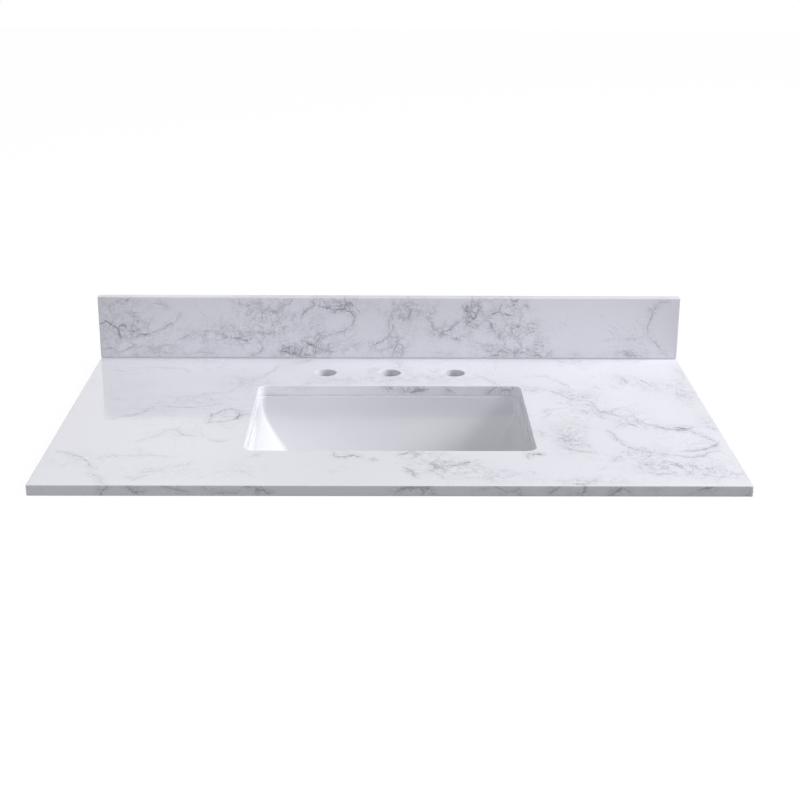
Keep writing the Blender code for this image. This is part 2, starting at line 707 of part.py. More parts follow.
def make_clips(parts, cutters, zinc, brass):
    washer_bottom = WASHER_TOP - WASHER_THICKNESS
    anchor = ring_mesh("anchor", BORE_RADIUS, ANCHOR_RADIUS, SEAT_GAP, ANCHOR_LENGTH, cutters)
    washer = ring_mesh("washer", BORE_RADIUS, WASHER_RADIUS, washer_bottom, WASHER_TOP, cutters)
    pieces = (
        ("anchor", anchor, brass, 0.0),
        ("stud", stud_mesh(cutters), zinc, 0.0),
        ("clip", clip_mesh(cutters), zinc, 0.0),
        ("washer", washer, zinc, 0.0),
        ("wing_nut", wing_nut_mesh(cutters), zinc, NUT_TOP),
    )
    for _, mesh, metal, _ in pieces:
        mesh.materials.clear()
        mesh.materials.append(metal)
    for place, x, y, turn in clip_places():
        stud_axis = bpy.data.objects.new(f"stud_axis_{place}", None)
        stud_axis.location = (x, y, 0.0)
        stud_axis.rotation_euler = (0.0, 0.0, turn)
        parts.objects.link(stud_axis)
        for piece, mesh, _, level in pieces:
            made = new_object(f"{piece}_{place}", mesh, parts)
            made.parent = stud_axis
            made.location = (0.0, 0.0, level)


def main():
    clear_scene()
    parts = new_collection("vanity_top")
    cutters = new_collection("vanity_top_cutters")
    stone = new_material("engineered_stone", STONE_COLOUR, 0.12)
    ceramic = new_material("glazed_ceramic", CERAMIC_COLOUR, 0.06)
    silicone = new_material("silicone", SILICONE_COLOUR, 0.40)
    brass = new_material("brass", BRASS_COLOUR, 0.30, 1.0)
    zinc = new_material("zinc_plated_steel", ZINC_COLOUR, 0.35, 1.0)
    make_stone_top(parts, cutters, stone)
    make_backsplash(parts, stone, silicone)
    make_basin(parts, cutters, ceramic)
    make_basin_sealant(parts, silicone)
    make_clips(parts, cutters, zinc, brass)


main()
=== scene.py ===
"""Looks for a bathroom vanity top: veined stone, a glazed undermount basin, sealant, fixings and a studio."""

import math

import bmesh
import bpy
import numpy as np
from mathutils import Matrix, Vector, noise


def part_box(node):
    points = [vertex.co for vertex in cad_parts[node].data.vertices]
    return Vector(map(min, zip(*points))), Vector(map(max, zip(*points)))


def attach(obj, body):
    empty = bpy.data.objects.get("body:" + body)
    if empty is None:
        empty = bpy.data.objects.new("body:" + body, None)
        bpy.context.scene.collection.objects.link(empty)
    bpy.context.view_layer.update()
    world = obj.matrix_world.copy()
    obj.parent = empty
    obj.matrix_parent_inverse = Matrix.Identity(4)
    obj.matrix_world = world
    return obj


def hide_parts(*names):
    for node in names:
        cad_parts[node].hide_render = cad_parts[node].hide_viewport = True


bl_info = {
    "name": "Vanity Top",
    "version": (1, 0, 0),
    "blender": (4, 5, 0),
    "location": "View3D > Sidebar > Vanity Top",
    "description": "Dresses a vanity top's frame with stone, glazed ceramic, sealant, fixings and a studio",
    "category": "Object",
}

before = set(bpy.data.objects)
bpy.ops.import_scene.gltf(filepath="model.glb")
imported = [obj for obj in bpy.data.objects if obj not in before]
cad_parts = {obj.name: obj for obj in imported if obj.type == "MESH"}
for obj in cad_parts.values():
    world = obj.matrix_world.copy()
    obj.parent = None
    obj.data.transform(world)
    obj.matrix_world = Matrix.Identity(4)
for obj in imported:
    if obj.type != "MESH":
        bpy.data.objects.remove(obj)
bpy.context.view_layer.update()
BODY = "root"
MM = 0.001
TOP_LOW, TOP_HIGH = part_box("stone_top")
SPLASH_LOW, SPLASH_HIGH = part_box("backsplash")
BASIN_LOW, BASIN_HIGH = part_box("basin")
BASIN_Y = (BASIN_LOW.y + BASIN_HIGH.y) / 2
CLIP_PLACES = ("front_left", "rear_left", "front_right", "rear_right")

# Veins, read off the stone, in millimetres: darkness, then the points that each one passes.
# On the slab's top the points are (x, y), and on upright faces (x, z).
TOP_VEINS = (
    (0.30, (-178, -52), (-183, -75), (-195, -100), (-205, -120), (-222, -140), (-232, -160), (-243, -183)),
    (0.30, (-243, -183), (-275, -193), (-300, -205), (-320, -215)),
    (0.22, (-390, -62), (-350, -68), (-325, -72), (-318, -90)),
    (0.25, (-440, -60), (-437, -80), (-420, -85), (-410, -82)),
    (0.40, (-350, -252), (-330, -252), (-300, -256), (-275, -254), (-262, -245), (-252, -238)),
    (0.30, (-275, -195), (-273, -215), (-265, -228), (-255, -238)),
    (0.50, (-355, -258), (-358, -275), (-365, -285), (-385, -295), (-400, -302)),
    (0.20, (-416, -216), (-408, -220), (-402, -226)),
    (0.75, (-234, -263), (-222, -275), (-218, -292), (-222, -305), (-235, -315), (-250, -318),
     (-262, -322)),
    (0.65, (-262, -322), (-262, -305), (-258, -288), (-248, -276), (-240, -266), (-230, -268)),
    (0.60, (-219, -286), (-212, -288), (-205, -285)),
    (0.45, (-318, -352), (-305, -350), (-296, -365), (-285, -374), (-276, -378)),
    (0.28, (-318, -352), (-322, -375), (-335, -385), (-350, -398)),
    (0.35, (-248, -392), (-238, -397), (-230, -393)),
    (0.22, (-240, -325), (-238, -340), (-225, -345), (-222, -330)),
    (0.55, (-452, -438), (-437, -446), (-420, -458), (-405, -478), (-393, -503)),
    (0.50, (-396, -518), (-380, -532), (-370, -556)),
    (0.38, (-395, -465), (-375, -455), (-350, -455), (-325, -452), (-300, -457)),
    (0.22, (-340, -440), (-345, -425)),
    (0.38, (-286, -493), (-278, -488), (-270, -485), (-268, -478)),
    (0.35, (-325, -512), (-308, -508), (-300, -495)),
    (0.38, (-346, -528), (-332, -536), (-320, -525)),
    (0.35, (-178, -440), (-183, -452), (-190, -455)),
    (0.28, (-200, -500), (-190, -515), (-185, -525)),
    (0.60, (-78, -440), (-76, -450)),
    (0.90, (-72, -455), (-58, -456), (-50, -452), (-42, -458)),
    (0.90, (-27, -466), (-22, -468)),
    (0.40, (-62, -438), (-60, -436)),
    (0.32, (-33, -75), (-25, -68), (-20, -76), (-28, -92), (-33, -80)),
    (0.25, (-110, -142), (-80, -128), (-60, -118)),
    (0.30, (-118, -138), (-135, -148)),
    (0.40, (-150, -42), (-138, -32), (-130, -24)),
    (0.38, (15, -60), (17, -40), (10, -28)),
    (0.32, (65, -76), (70, -84), (78, -76)),
    (0.22, (60, -105), (68, -120), (66, -140)),
    (0.35, (135, -100), (150, -115), (158, -130), (165, -146)),
    (0.28, (205, -112), (225, -108), (248, -105), (250, -120)),
    (0.40, (258, -125), (268, -140), (275, -150), (278, -165)),
    (0.45, (205, -155), (215, -165), (235, -175), (250, -178), (258, -190), (262, -205), (272, -218),
     (285, -225)),
    (0.50, (275, -222), (290, -218), (300, -225), (303, -240), (290, -250), (278, -245)),
    (0.38, (256, -257), (235, -262), (228, -270), (232, -285), (225, -295)),
    (0.48, (283, -265), (290, -275), (288, -285)),
    (0.40, (305, -255), (312, -275), (308, -295), (320, -300)),
    (0.48, (322, -262), (322, -280), (335, -292), (350, -293)),
    (0.58, (342, -303), (345, -322), (352, -335)),
    (0.70, (355, -315), (370, -325), (385, -338), (400, -347), (415, -350), (425, -357), (435, -368),
     (445, -380)),
    (0.70, (445, -380), (456, -398), (450, -410), (445, -420), (432, -427), (418, -432), (400, -436)),
    (0.55, (375, -443), (400, -455), (410, -457), (425, -450), (435, -440), (450, -433)),
    (0.48, (310, -352), (316, -370), (318, -395), (325, -415), (340, -428), (355, -440), (368, -447)),
    (0.30, (322, -345), (330, -330), (345, -310)),
    (0.85, (405, -337), (415, -341), (425, -345), (414, -352)),
    (0.58, (364, -104), (368, -120), (370, -140)),
    (0.42, (385, -110), (395, -125), (405, -150), (413, -172)),
    (0.38, (310, -168), (320, -155), (325, -170)),
    (0.28, (345, -150), (350, -165)),
    (0.45, (275, -20), (280, -45)),
    (0.35, (310, -22), (313, -45)),
    (0.28, (455, -60), (464, -80), (461, -120)),
    (0.38, (440, -170), (437, -200), (458, -190)),
    (0.22, (455, -290), (455, -310)),
    (0.32, (262, -320), (275, -330), (280, -345)),
    (0.40, (270, -350), (262, -370), (248, -380), (235, -385), (232, -400)),
    (0.42, (255, -380), (262, -400), (275, -410), (278, -425)),
    (0.60, (240, -420), (250, -430), (265, -438), (280, -440)),
    (0.38, (206, -350), (215, -360), (212, -375)),
    (0.38, (222, -372), (229, -379)),
    (0.95, (189, -445), (198, -447), (205, -445)),
    (0.50, (187, -450), (188, -460)),
    (0.80, (12, -452), (18, -444), (25, -440), (31, -436)),
    (0.60, (45, -470), (55, -480), (60, -495), (50, -503)),
    (0.80, (60, -495), (75, -490), (90, -487), (100, -480), (108, -472), (115, -468)),
    (0.38, (52, -500), (60, -515), (70, -535)),
    (0.80, (20, -498), (28, -510), (32, -525)),
    (0.38, (125, -535), (135, -525), (145, -512), (155, -505)),
    (0.28, (185, -510), (195, -520)),
    (0.58, (225, -550), (240, -552), (252, -553), (262, -545), (272, -530)),
    (0.28, (280, -500), (288, -495)),
    (0.48, (300, -470), (310, -455), (313, -466)),
    (0.48, (335, -475), (345, -485), (352, -480)),
    (0.68, (375, -470), (382, -480), (388, -492), (392, -502)),
    (0.58, (340, -512), (350, -520), (362, -515), (372, -520)),
    (0.32, (405, -500), (420, -510), (440, -515), (445, -505)),
)
SPLASH_VEINS = (
    (0.90, (-466, 72), (-458, 78), (-452, 74), (-448, 70), (-440, 66), (-432, 70), (-425, 68)),
    (0.90, (-440, 66), (-437, 58), (-436, 48)),
    (0.75, (-430, 66), (-422, 60), (-410, 64), (-405, 60), (-408, 55), (-415, 50)),
    (0.90, (-405, 58), (-398, 55), (-390, 56)),
    (0.60, (-385, 60), (-378, 57)),
    (0.50, (-372, 64), (-365, 66), (-355, 74), (-345, 78), (-340, 88)),
    (0.55, (-447, 112), (-438, 109), (-432, 114)),
    (0.65, (-423, 111), (-417, 115)),
    (0.50, (-376, 108), (-365, 106), (-358, 102)),
    (0.50, (-418, 90), (-410, 92), (-400, 91)),
    (0.45, (-466, 30), (-455, 32), (-446, 32)),
    (0.50, (-430, 28), (-422, 33), (-415, 36)),
    (0.32, (-465, 44), (-455, 47)),
    (0.32, (-387, 27), (-378, 33), (-365, 38), (-350, 36)),
    (0.36, (-345, 45), (-330, 52), (-318, 58)),
    (0.42, (-320, 58), (-300, 60), (-285, 63), (-272, 66), (-262, 70), (-250, 72)),
    (0.32, (-292, 60), (-262, 62), (-240, 62)),
    (0.65, (-280, 45), (-270, 47), (-262, 52), (-250, 50), (-240, 46), (-230, 46), (-222, 50), (-212, 44)),
    (0.38, (-262, 52), (-245, 56), (-228, 60), (-215, 58)),
    (0.32, (-302, 44), (-296, 52), (-300, 59)),
    (0.58, (-212, 43), (-206, 35), (-208, 28), (-215, 24), (-225, 20)),
    (0.32, (-325, 22), (-300, 26), (-285, 22)),
    (0.32, (-395, 20), (-370, 26), (-350, 20)),
    (0.48, (-243, 114), (-240, 107), (-230, 103), (-215, 107)),
    (0.45, (-197, 99), (-188, 96)),
    (0.60, (-174, 104), (-163, 107), (-157, 112)),
    (0.38, (-182, 85), (-178, 92), (-170, 98)),
    (0.36, (-226, 78), (-218, 84), (-212, 95)),
    (0.28, (-205, 60), (-195, 55), (-190, 62)),
    (0.98, (-178, 27), (-170, 27), (-162, 22), (-154, 24), (-152, 31)),
    (0.98, (-162, 20), (-150, 20), (-145, 23)),
    (0.60, (-143, 78), (-141, 88), (-134, 98), (-120, 104)),
    (0.85, (-120, 104), (-110, 102), (-100, 100), (-90, 98), (-78, 99), (-70, 98), (-62, 92), (-58, 86),
     (-57, 80)),
    (0.55, (-57, 80), (-60, 74), (-66, 68), (-74, 62), (-84, 58), (-95, 55), (-103, 52)),
    (0.85, (-116, 42), (-115, 50), (-112, 56), (-105, 55)),
    (0.92, (-142, 44), (-132, 40), (-125, 38), (-120, 38), (-118, 45)),
    (0.88, (-115, 32), (-105, 30), (-95, 28)),
    (0.55, (-120, 25), (-128, 20), (-138, 19)),
    (0.38, (-100, 22), (-92, 26), (-85, 28)),
    (0.80, (-85, 112), (-75, 104), (-68, 110), (-60, 109), (-55, 102), (-50, 95)),
    (0.65, (-72, 116), (-68, 108), (-62, 100)),
    (0.55, (-118, 104), (-125, 110), (-118, 116)),
    (0.45, (-100, 104), (-106, 110), (-108, 116)),
    (0.28, (-155, 60), (-150, 68), (-145, 76)),
    (0.78, (-34, 36), (-26, 38), (-20, 42), (-10, 45), (-4, 50), (-1, 58)),
    (0.42, (-1, 58), (0, 68), (-2, 80), (3, 92), (8, 100)),
    (0.50, (4, 62), (7, 70), (4, 75)),
    (0.60, (12, 48), (14, 40), (10, 34), (4, 28), (6, 21)),
    (0.60, (14, 42), (20, 36), (22, 28), (18, 21)),
    (0.65, (12, 100), (20, 96), (18, 88), (25, 84), (32, 88), (35, 96), (30, 102), (22, 106)),
    (0.60, (26, 84), (22, 79)),
    (0.32, (38, 95), (48, 98), (54, 94)),
    (0.36, (30, 105), (33, 115)),
    (0.80, (60, 84), (66, 78), (68, 70), (72, 64), (78, 61), (88, 60), (95, 62), (100, 66), (105, 72),
     (112, 78)),
    (0.55, (112, 78), (120, 82), (126, 90), (130, 100), (132, 108), (134, 116)),
    (0.45, (62, 96), (66, 90), (72, 94), (70, 102), (76, 108)),
    (0.70, (124, 68), (128, 76), (136, 84), (142, 86), (138, 96), (130, 96)),
    (0.60, (142, 86), (144, 100), (142, 114)),
    (0.55, (132, 70), (140, 68), (146, 73)),
    (0.70, (104, 48), (110, 52), (112, 44)),
    (0.28, (95, 50), (118, 53), (130, 50)),
    (0.36, (138, 42), (150, 40), (158, 42)),
    (0.24, (60, 25), (75, 28), (90, 22), (105, 26)),
    (0.24, (-90, 40), (-70, 48), (-55, 56)),
    (0.28, (-80, 30), (-60, 36), (-45, 44)),
    (0.70, (158, 80), (164, 78), (166, 70), (170, 62)),
    (0.80, (160, 88), (168, 92), (178, 94)),
    (0.88, (182, 90), (190, 90), (198, 89)),
    (0.75, (195, 116), (200, 110), (206, 113), (204, 106), (196, 104)),
    (0.45, (178, 100), (182, 108), (178, 115)),
    (0.48, (215, 110), (222, 104), (225, 99)),
    (0.78, (198, 66), (206, 70), (213, 70)),
    (0.82, (212, 63), (220, 68), (226, 66), (228, 72)),
    (0.75, (228, 60), (232, 64), (238, 62)),
    (0.48, (196, 56), (198, 66), (200, 76)),
    (0.42, (218, 66), (224, 75), (232, 76), (241, 72)),
    (0.58, (178, 48), (176, 56), (182, 58)),
    (0.38, (160, 60), (168, 66)),
    (0.50, (152, 40), (160, 36), (170, 38), (178, 34)),
    (0.60, (160, 30), (172, 26), (185, 28), (198, 24)),
    (0.68, (165, 20), (180, 21), (195, 20)),
    (0.98, (205, 25), (212, 24), (218, 26)),
    (0.55, (230, 35), (240, 40), (250, 38), (256, 42)),
    (0.50, (232, 28), (242, 32), (248, 36)),
    (0.38, (235, 44), (246, 48), (256, 50)),
    (0.70, (230, 20), (240, 21), (250, 20)),
    (0.78, (258, 22), (262, 26)),
    (0.50, (446, 112), (438, 112), (432, 106), (426, 98), (424, 90), (421, 80), (419, 70), (421, 60)),
    (0.42, (421, 60), (426, 50), (434, 42), (440, 34), (446, 26), (452, 22)),
    (0.88, (423, 98), (426, 92)),
    (0.28, (378, 48), (388, 48), (400, 50), (412, 54)),
    (0.42, (372, 26), (385, 28), (395, 30)),
    (0.58, (380, 22), (395, 22), (410, 20)),
    (0.28, (300, 24), (310, 22)),
)
FRONT_VEINS = (
    (0.71, (-374, 1), (-372, 6), (-368, 10), (-364, 13)),
    (0.6, (-340, 13), (-334, 9), (-328, 5), (-322, 7), (-318, 9)),
    (0.41, (-300, 13), (-288, 12), (-278, 9), (-270, 7), (-262, 6)),
    (0.43, (-242, 12), (-235, 7), (-228, 4), (-215, 6), (-200, 4), (-195, 6)),
    (0.71, (-186, 13), (-176, 12), (-170, 9), (-162, 6), (-155, 5)),
    (0.6, (5, 2), (8, 6), (14, 11), (22, 13), (30, 12), (38, 12), (46, 13)),
    (0.66, (42, 5), (46, 9), (52, 12)),
    (0.38, (52, 2), (60, 2)),
    (0.49, (135, 13), (142, 10), (150, 6), (158, 7), (166, 11)),
    (0.29, (115, 9), (125, 12)),
    (0.38, (160, 5), (170, 2), (176, 2)),
    (0.6, (206, 4), (210, 8), (216, 12)),
    (0.71, (235, 3), (245, 4), (250, 7), (250, 13)),
    (0.64, (283, 2), (290, 6), (296, 11), (300, 13)),
    (0.38, (300, 13), (306, 9), (312, 6)),
    (0.36, (335, 10), (345, 12), (352, 8)),
    (0.45, (385, 3), (392, 3)),
    (0.66, (400, 9), (406, 12), (414, 11), (418, 13)),
    (0.52, (460, 2), (465, 4)),
)
CUTOUT_VEINS = (
    (0.74, (-10, 13), (-6, 12), (0, 11), (4, 9)),
    (0.76, (20, 12), (22, 7), (28, 5), (36, 5), (44, 6), (50, 5), (58, 8)),
    (0.55, (40, 13), (48, 11), (55, 9)),
    (0.47, (85, 13), (90, 8), (97, 4)),
    (0.70, (150, 2), (158, 8), (165, 13)),
    (0.69, (172, 4), (180, 10), (186, 8), (192, 12)),
    (0.20, (-160, 10), (-150, 13), (-140, 8), (-130, 11), (-122, 9)),
)
# Smoky patches around the veins: darkness, middle and half sizes.
TOP_SMOKE = (
    (0.65, 285, -215, 34, 38),
    (0.65, 322, -275, 42, 24),
    (0.75, 250, -385, 24, 52),
    (0.6, 350, -318, 26, 20),
    (0.6, 415, -343, 46, 12),
    (0.6, 345, -440, 36, 22),
    (0.7, 368, -492, 46, 26),
    (0.55, 432, -510, 36, 32),
    (0.45, 268, -542, 56, 14),
    (0.75, 75, -490, 46, 26),
    (0.6, 38, -448, 34, 14),
    (0.4, 135, -525, 46, 24),
    (0.5, 448, -180, 20, 56),
    (0.45, 366, -125, 20, 32),
    (0.4, 405, -150, 22, 36),
    (0.5, 225, -172, 42, 14),
    (0.4, 458, -315, 14, 40),
    (0.4, 300, -36, 34, 22),
    (0.35, 60, -115, 110, 26),
    (0.3, -60, -125, 70, 22),
    (0.3, -236, -292, 34, 36),
    (0.28, -300, -222, 70, 26),
    (0.25, -345, -262, 50, 18),
    (0.2, -292, -365, 36, 20),
    (0.2, -425, -470, 40, 30),
    (0.2, -340, -456, 50, 12),
    (0.25, -310, -510, 50, 22),
    (0.2, -200, -500, 36, 30),
    (0.3, -225, -140, 40, 44),
)
SPLASH_SMOKE = (
    (0.62, -430, 68, 50, 36),
    (0.45, -440, 108, 30, 12),
    (0.6, -255, 54, 80, 20),
    (0.36, -215, 98, 44, 20),
    (0.85, -150, 26, 40, 14),
    (0.5, -185, 84, 40, 30),
    (0.7, -75, 106, 40, 11),
    (0.5, -118, 60, 16, 30),
    (0.7, 25, 95, 34, 20),
    (0.85, 132, 92, 16, 34),
    (0.5, 185, 98, 36, 24),
    (0.66, 212, 58, 34, 22),
    (0.75, 190, 26, 56, 13),
    (0.6, 12, 40, 24, 26),
    (0.5, 75, 62, 26, 16),
    (0.4, 395, 24, 44, 10),
    (0.45, -400, 26, 80, 12),
    (0.4, -70, 34, 60, 14),
)
FRONT_SMOKE = (
    (0.16, -330, 8, 22, 9),
    (0.12, -250, 7, 50, 8),
    (0.18, -170, 9, 22, 8),
    (0.16, 25, 9, 36, 9),
    (0.14, 150, 8, 34, 9),
    (0.2, 250, 6, 26, 9),
    (0.16, 295, 8, 24, 9),
    (0.12, 345, 9, 24, 8),
    (0.2, 410, 9, 22, 9),
    (0.12, 462, 4, 12, 7),
)
CUTOUT_SMOKE = ((0.4, 30, 8, 42, 9), (0.4, 175, 9, 28, 9), (0.25, 92, 8, 12, 9))

# Second colours of the stone's body and veins, and how much of the brass's colour its tarnish leaves
PALER_BODY = (0.826, 0.824, 0.88, 1)
PALER_VEIN = (0.36, 0.35, 0.40, 1)
BRASS_TARNISH = (0.72, 0.66, 0.62)

# Faces with veins of their own, in millimetres: how thick the bands are that count as the top, the front edge
# and the cutout's rear wall, how far past its ends the wall's band reaches, and where it stops at the rear
TOP_BAND, FRONT_BAND, WALL_BAND = 0.4, 0.6, 12
WALL_MARGIN, WALL_REAR = 1, -100

# How a drawn vein wanders: the length of a wave in millimetres, and its share of the drift. Then the share of
# the drift on other faces than the top, the distance held far from any vein, and how dark a vein's tips are.
WIDE_WAVE, WIDE_SHARE = 34, 1.6
CLOSE_WAVE, CLOSE_SHARE = 11, 0.7
SPLASH_DRIFT, SIDE_DRIFT = 0.6, 0.25
FAR_AWAY = 60.0
TIP_TONE = 0.6

# The slab, in metres, with the CAD model's own sizes where its boxes don't give them. Only the easing of its
# sawn edge is finer.
CUTOUT_HALF_X = 0.201
CUTOUT_HALF_Y = 0.1395
CUTOUT_RADIUS = 0.014
SAWN_EASING = 0.0003
TAP_HOLES_X = (-0.1016, 0.0, 0.1016)
TAP_HOLES_Y = -0.0889
TAP_HOLE_RADIUS = 0.0175
ANCHOR_HOLE_RADIUS = 0.0052
ANCHOR_HOLE_DEPTH = 0.0091

# The basin. Its mouth, lip and wall folds are set a little tighter than the CAD model's.
MOUTH_HALF_X = 0.201
MOUTH_HALF_Y = 0.1395
RIM_LEVEL = -0.002
LIP_RADIUS = 0.001
FLANGE_WIDTH = 0.028
FLANGE_THICKNESS = 0.012
FLANGE_CORNER_RADIUS = 0.030
FLANGE_TOP_ROUND = 0.001
FLANGE_ROUND = 0.003
FLANGE_COVE = 0.007
BASIN_WALL = 0.009
BOWL_DEPTH = 0.134
WALL_DROP = 0.032
WALL_EASE = 0.016
SIDE_LEAN = math.radians(33)
END_LEAN = math.radians(25)
FOOT_RADIUS = 0.045
FLOOR_TILT = math.radians(4)
MOUTH_CORNER_RADIUS = 0.015
FLOOR_CORNER_RADIUS = 0.055
CORNER_LATENESS = 4.0
CORNER_PINCH = 0.010
PINCH_DEPTH = 0.028
MOST_CORNER_SHARE = 0.85
FLOOR_BOW = 0.008
DRAIN_DEPTH = 0.137
RECESS_DEPTH = 0.140
RECESS_RADIUS = 0.032
RECESS_ROUND = 0.0012
BORE_RADIUS = 0.0225
BORE_EASING = 0.001
BOSS_RADIUS = 0.038
BOSS_DEPTH = 0.173
BOSS_ROUND = 0.002
BOSS_FILLET = 0.004
INLET_DEPTH = 0.036
INLET_HALF_X = 0.014
INLET_HALF_Z = 0.006
INLET_FLARE = 1.5
INLET_FLARE_DEPTH = 0.0015
INLET_CLEARANCE = 0.004
DUCT_HALF_X = 0.019
DUCT_GAP = 0.010
DUCT_HEADROOM = 0.012
HOUSING_WALL = 0.007
HOUSING_BITE = 0.004

# The silicone. Each point of the basin bead's section has the edge that it is measured from, how much further
# in it stands, and how far below the slab, as a share of the gap down to the flange.
SPLASH_BEAD_SETBACK = Vector((0.0016, 0.0005, 0.0))
SPLASH_BEAD_ROUND = 0.0005
FLANGE_BEAD_SETBACK = 0.0022
BEAD_SECTION = (
    ("outer", 0.0, 1.0),
    ("outer", -0.0007, 0.5),
    ("outer", 0.0, 0.0),
    ("inner", 0.0, 0.0),
    ("inner", -0.0004, 0.3),
    ("inner", -0.0005, 0.8),
    ("inner", -0.0001, 1.1),
    ("inner", 0.0003, 1.22),
    ("inner", -0.0012, 1.25),
    ("inner", -0.0045, 1.03),
)

# The fixings. Each point of the thread's tooth has its radius, and its share of the pitch.
BOLT_HOLE_RADIUS = 0.0033
STUD_CHAMFER = 0.0008
STUD_TOOTH = (("root", 0.0), ("root", 0.12), ("crest", 0.44), ("crest", 0.56), ("root", 0.88), ("root", 1.0))
THREAD_STEPS = 24
SPARE_TURNS = 2
CLIP_STRIP = 0.002
CLIP_BEND_RADIUS = 0.003
CLIP_SLOT_HALF = 0.007
CLIP_TOE_ROUND = 0.004
NUT_HUB_RADIUS = 0.0062
NUT_NECK_RADIUS = 0.0048
NUT_HEIGHT = 0.0075
NUT_ROUND = 0.0006
WING_THICKNESS = 0.0024
WING_ROUND = 0.0008
WING_ROOT_SHARE = 0.8
EAR_SHARE = 0.36
SHOULDER_SHARE = 0.25
EAR_START, EAR_SWEEP, EAR_STEPS = 20, 170, 18
WASHER_EASING_SHARE = 0.7
KNURL_DEPTH = 0.0003
GROOVE_DEPTH = 0.0006
ANCHOR_CHAMFER = 0.0005

# The studio: places and sizes in metres, the camera's sensor in millimetres. From its left edge the card is
# white up to one place across the scene, and dim from another.
KEY_PLACE, KEY_SIZE, KEY_COLOUR = (3.5, -0.34, 2.5), (1.8, 1.8), (0.975, 0.98, 1.0)
FILL_PLACE, FILL_SIZE, FILL_COLOUR = (-1.7, -2.6, 0.6), (2.0, 1.0), (0.93, 0.965, 1.0)
FLOOR_SIZE = 12
PIT = ((-0.30, -0.50), (0.30, -0.118))
CARD_PLACE, CARD_SIZE, CARD_COLOUR = (2.2, 3.0, 1.6), (6.0, 5.0, 1.0), (0.98, 0.96, 1.0, 1)
CARD_WHITE_TO, CARD_DIM_FROM, CARD_LEVEL = -0.8, -0.1, 0.46
CAMERA_PLACE = (-0.00934, -2.33745, 0.74741)
CAMERA_PITCH, CAMERA_YAW, CAMERA_ROLL = (math.radians(turn) for turn in (19.089, -0.667, 0.338))
SENSOR_WIDTH = 36.0
NEAREST_SEEN = 0.05

# How finely curves are drawn. Then how far a cutter stands out past its piece, and what counts as one point, a
# hole's rim, a round end, or facing one way.
CORNER_STEPS = 16
SIDE_STEPS = 20
SEAT_SIDES = 64
BORE_SIDES = 48
ANCHOR_HOLE_SIDES = 32
DUCT_WALL_STEPS, DUCT_FOOT_STEPS, DUCT_FLOOR_STEPS = 14, 12, 4
SMOOTH_ANGLE = math.radians(35)
CORNER_ANGLE = math.radians(60)
OVERRUN = 0.01
SLOT_OVERRUN = 0.002
SAME_POINT = 0.000002
HOLE_RIM_REACH = 0.0005
BORE_RIM_REACH = 0.0001
NEARLY_ROUND = 0.98
FACING = 0.9


class StoneSettings(bpy.types.PropertyGroup):
    """Sizes and colours of the engineered stone."""

    corner_radius: bpy.props.FloatProperty(
        name="Corner radius", description="Upright corners of the slab", default=0.002, unit="LENGTH"
    )
    arris: bpy.props.FloatProperty(
        name="Arris", description="Polished easing along the stone's edges", default=0.0012, unit="LENGTH"
    )
    hole_arris: bpy.props.FloatProperty(
        name="Hole arris", description="Easing round the tap holes", default=0.0009, unit="LENGTH"
    )
    mesh_pitch: bpy.props.FloatProperty(
        name="Mesh pitch", description="Spacing of the points that hold veins", default=0.004, unit="LENGTH"
    )
    drift: bpy.props.FloatProperty(
        name="Vein drift", description="How far a vein wanders off its path", default=0.0012, unit="LENGTH"
    )
    body_colour: bpy.props.FloatVectorProperty(
        name="Body", description="Colour between the veins", default=(0.815, 0.814, 0.872), subtype="COLOR"
    )
    vein_colour: bpy.props.FloatVectorProperty(
        name="Veins", description="Colour of the darkest veins", default=(0.29, 0.283, 0.326), subtype="COLOR"
    )
    roughness: bpy.props.FloatProperty(
        name="Roughness", description="How dull the polished face is", default=0.06, subtype="FACTOR"
    )


class BasinSettings(bpy.types.PropertyGroup):
    """Sizes and colours of the glazed basin and its sealant."""

    glaze_colour: bpy.props.FloatVectorProperty(
        name="Glaze", description="Colour of the glaze", default=(0.784, 0.785, 0.822), subtype="COLOR"
    )
    glaze_roughness: bpy.props.FloatProperty(
        name="Glaze roughness", description="How dull the glaze is", default=0.04, subtype="FACTOR"
    )
    sealant_colour: bpy.props.FloatVectorProperty(
        name="Sealant", description="Colour of the cured silicone", default=(0.8, 0.8, 0.82), subtype="COLOR"
    )
    bead_setback: bpy.props.FloatProperty(
        name="Bead setback", description="From the bowl's mouth to the sealant", default=0.0005, unit="LENGTH"
    )


class FixingSettings(bpy.types.PropertyGroup):
    """Sizes and colours of the metalwork that holds the basin up."""

    thread_pitch: bpy.props.FloatProperty(
        name="Thread pitch", description="From one turn to the next", default=0.001, unit="LENGTH"
    )
    thread_depth: bpy.props.FloatProperty(
        name="Thread depth", description="From the thread's crest to its root", default=0.0005, unit="LENGTH"
    )
    softening: bpy.props.FloatProperty(
        name="Edge softening", description="Rounding of the clips' cut edges", default=0.0003, unit="LENGTH"
    )
    knurls: bpy.props.IntProperty(name="Knurls", description="Ridges round each anchor", default=26)
    zinc_colour: bpy.props.FloatVectorProperty(
        name="Zinc", description="Colour of the zinc plate", default=(0.66, 0.67, 0.69), subtype="COLOR"
    )
    brass_colour: bpy.props.FloatVectorProperty(
        name="Brass", description="Colour of the anchors", default=(0.74, 0.55, 0.27), subtype="COLOR"
    )


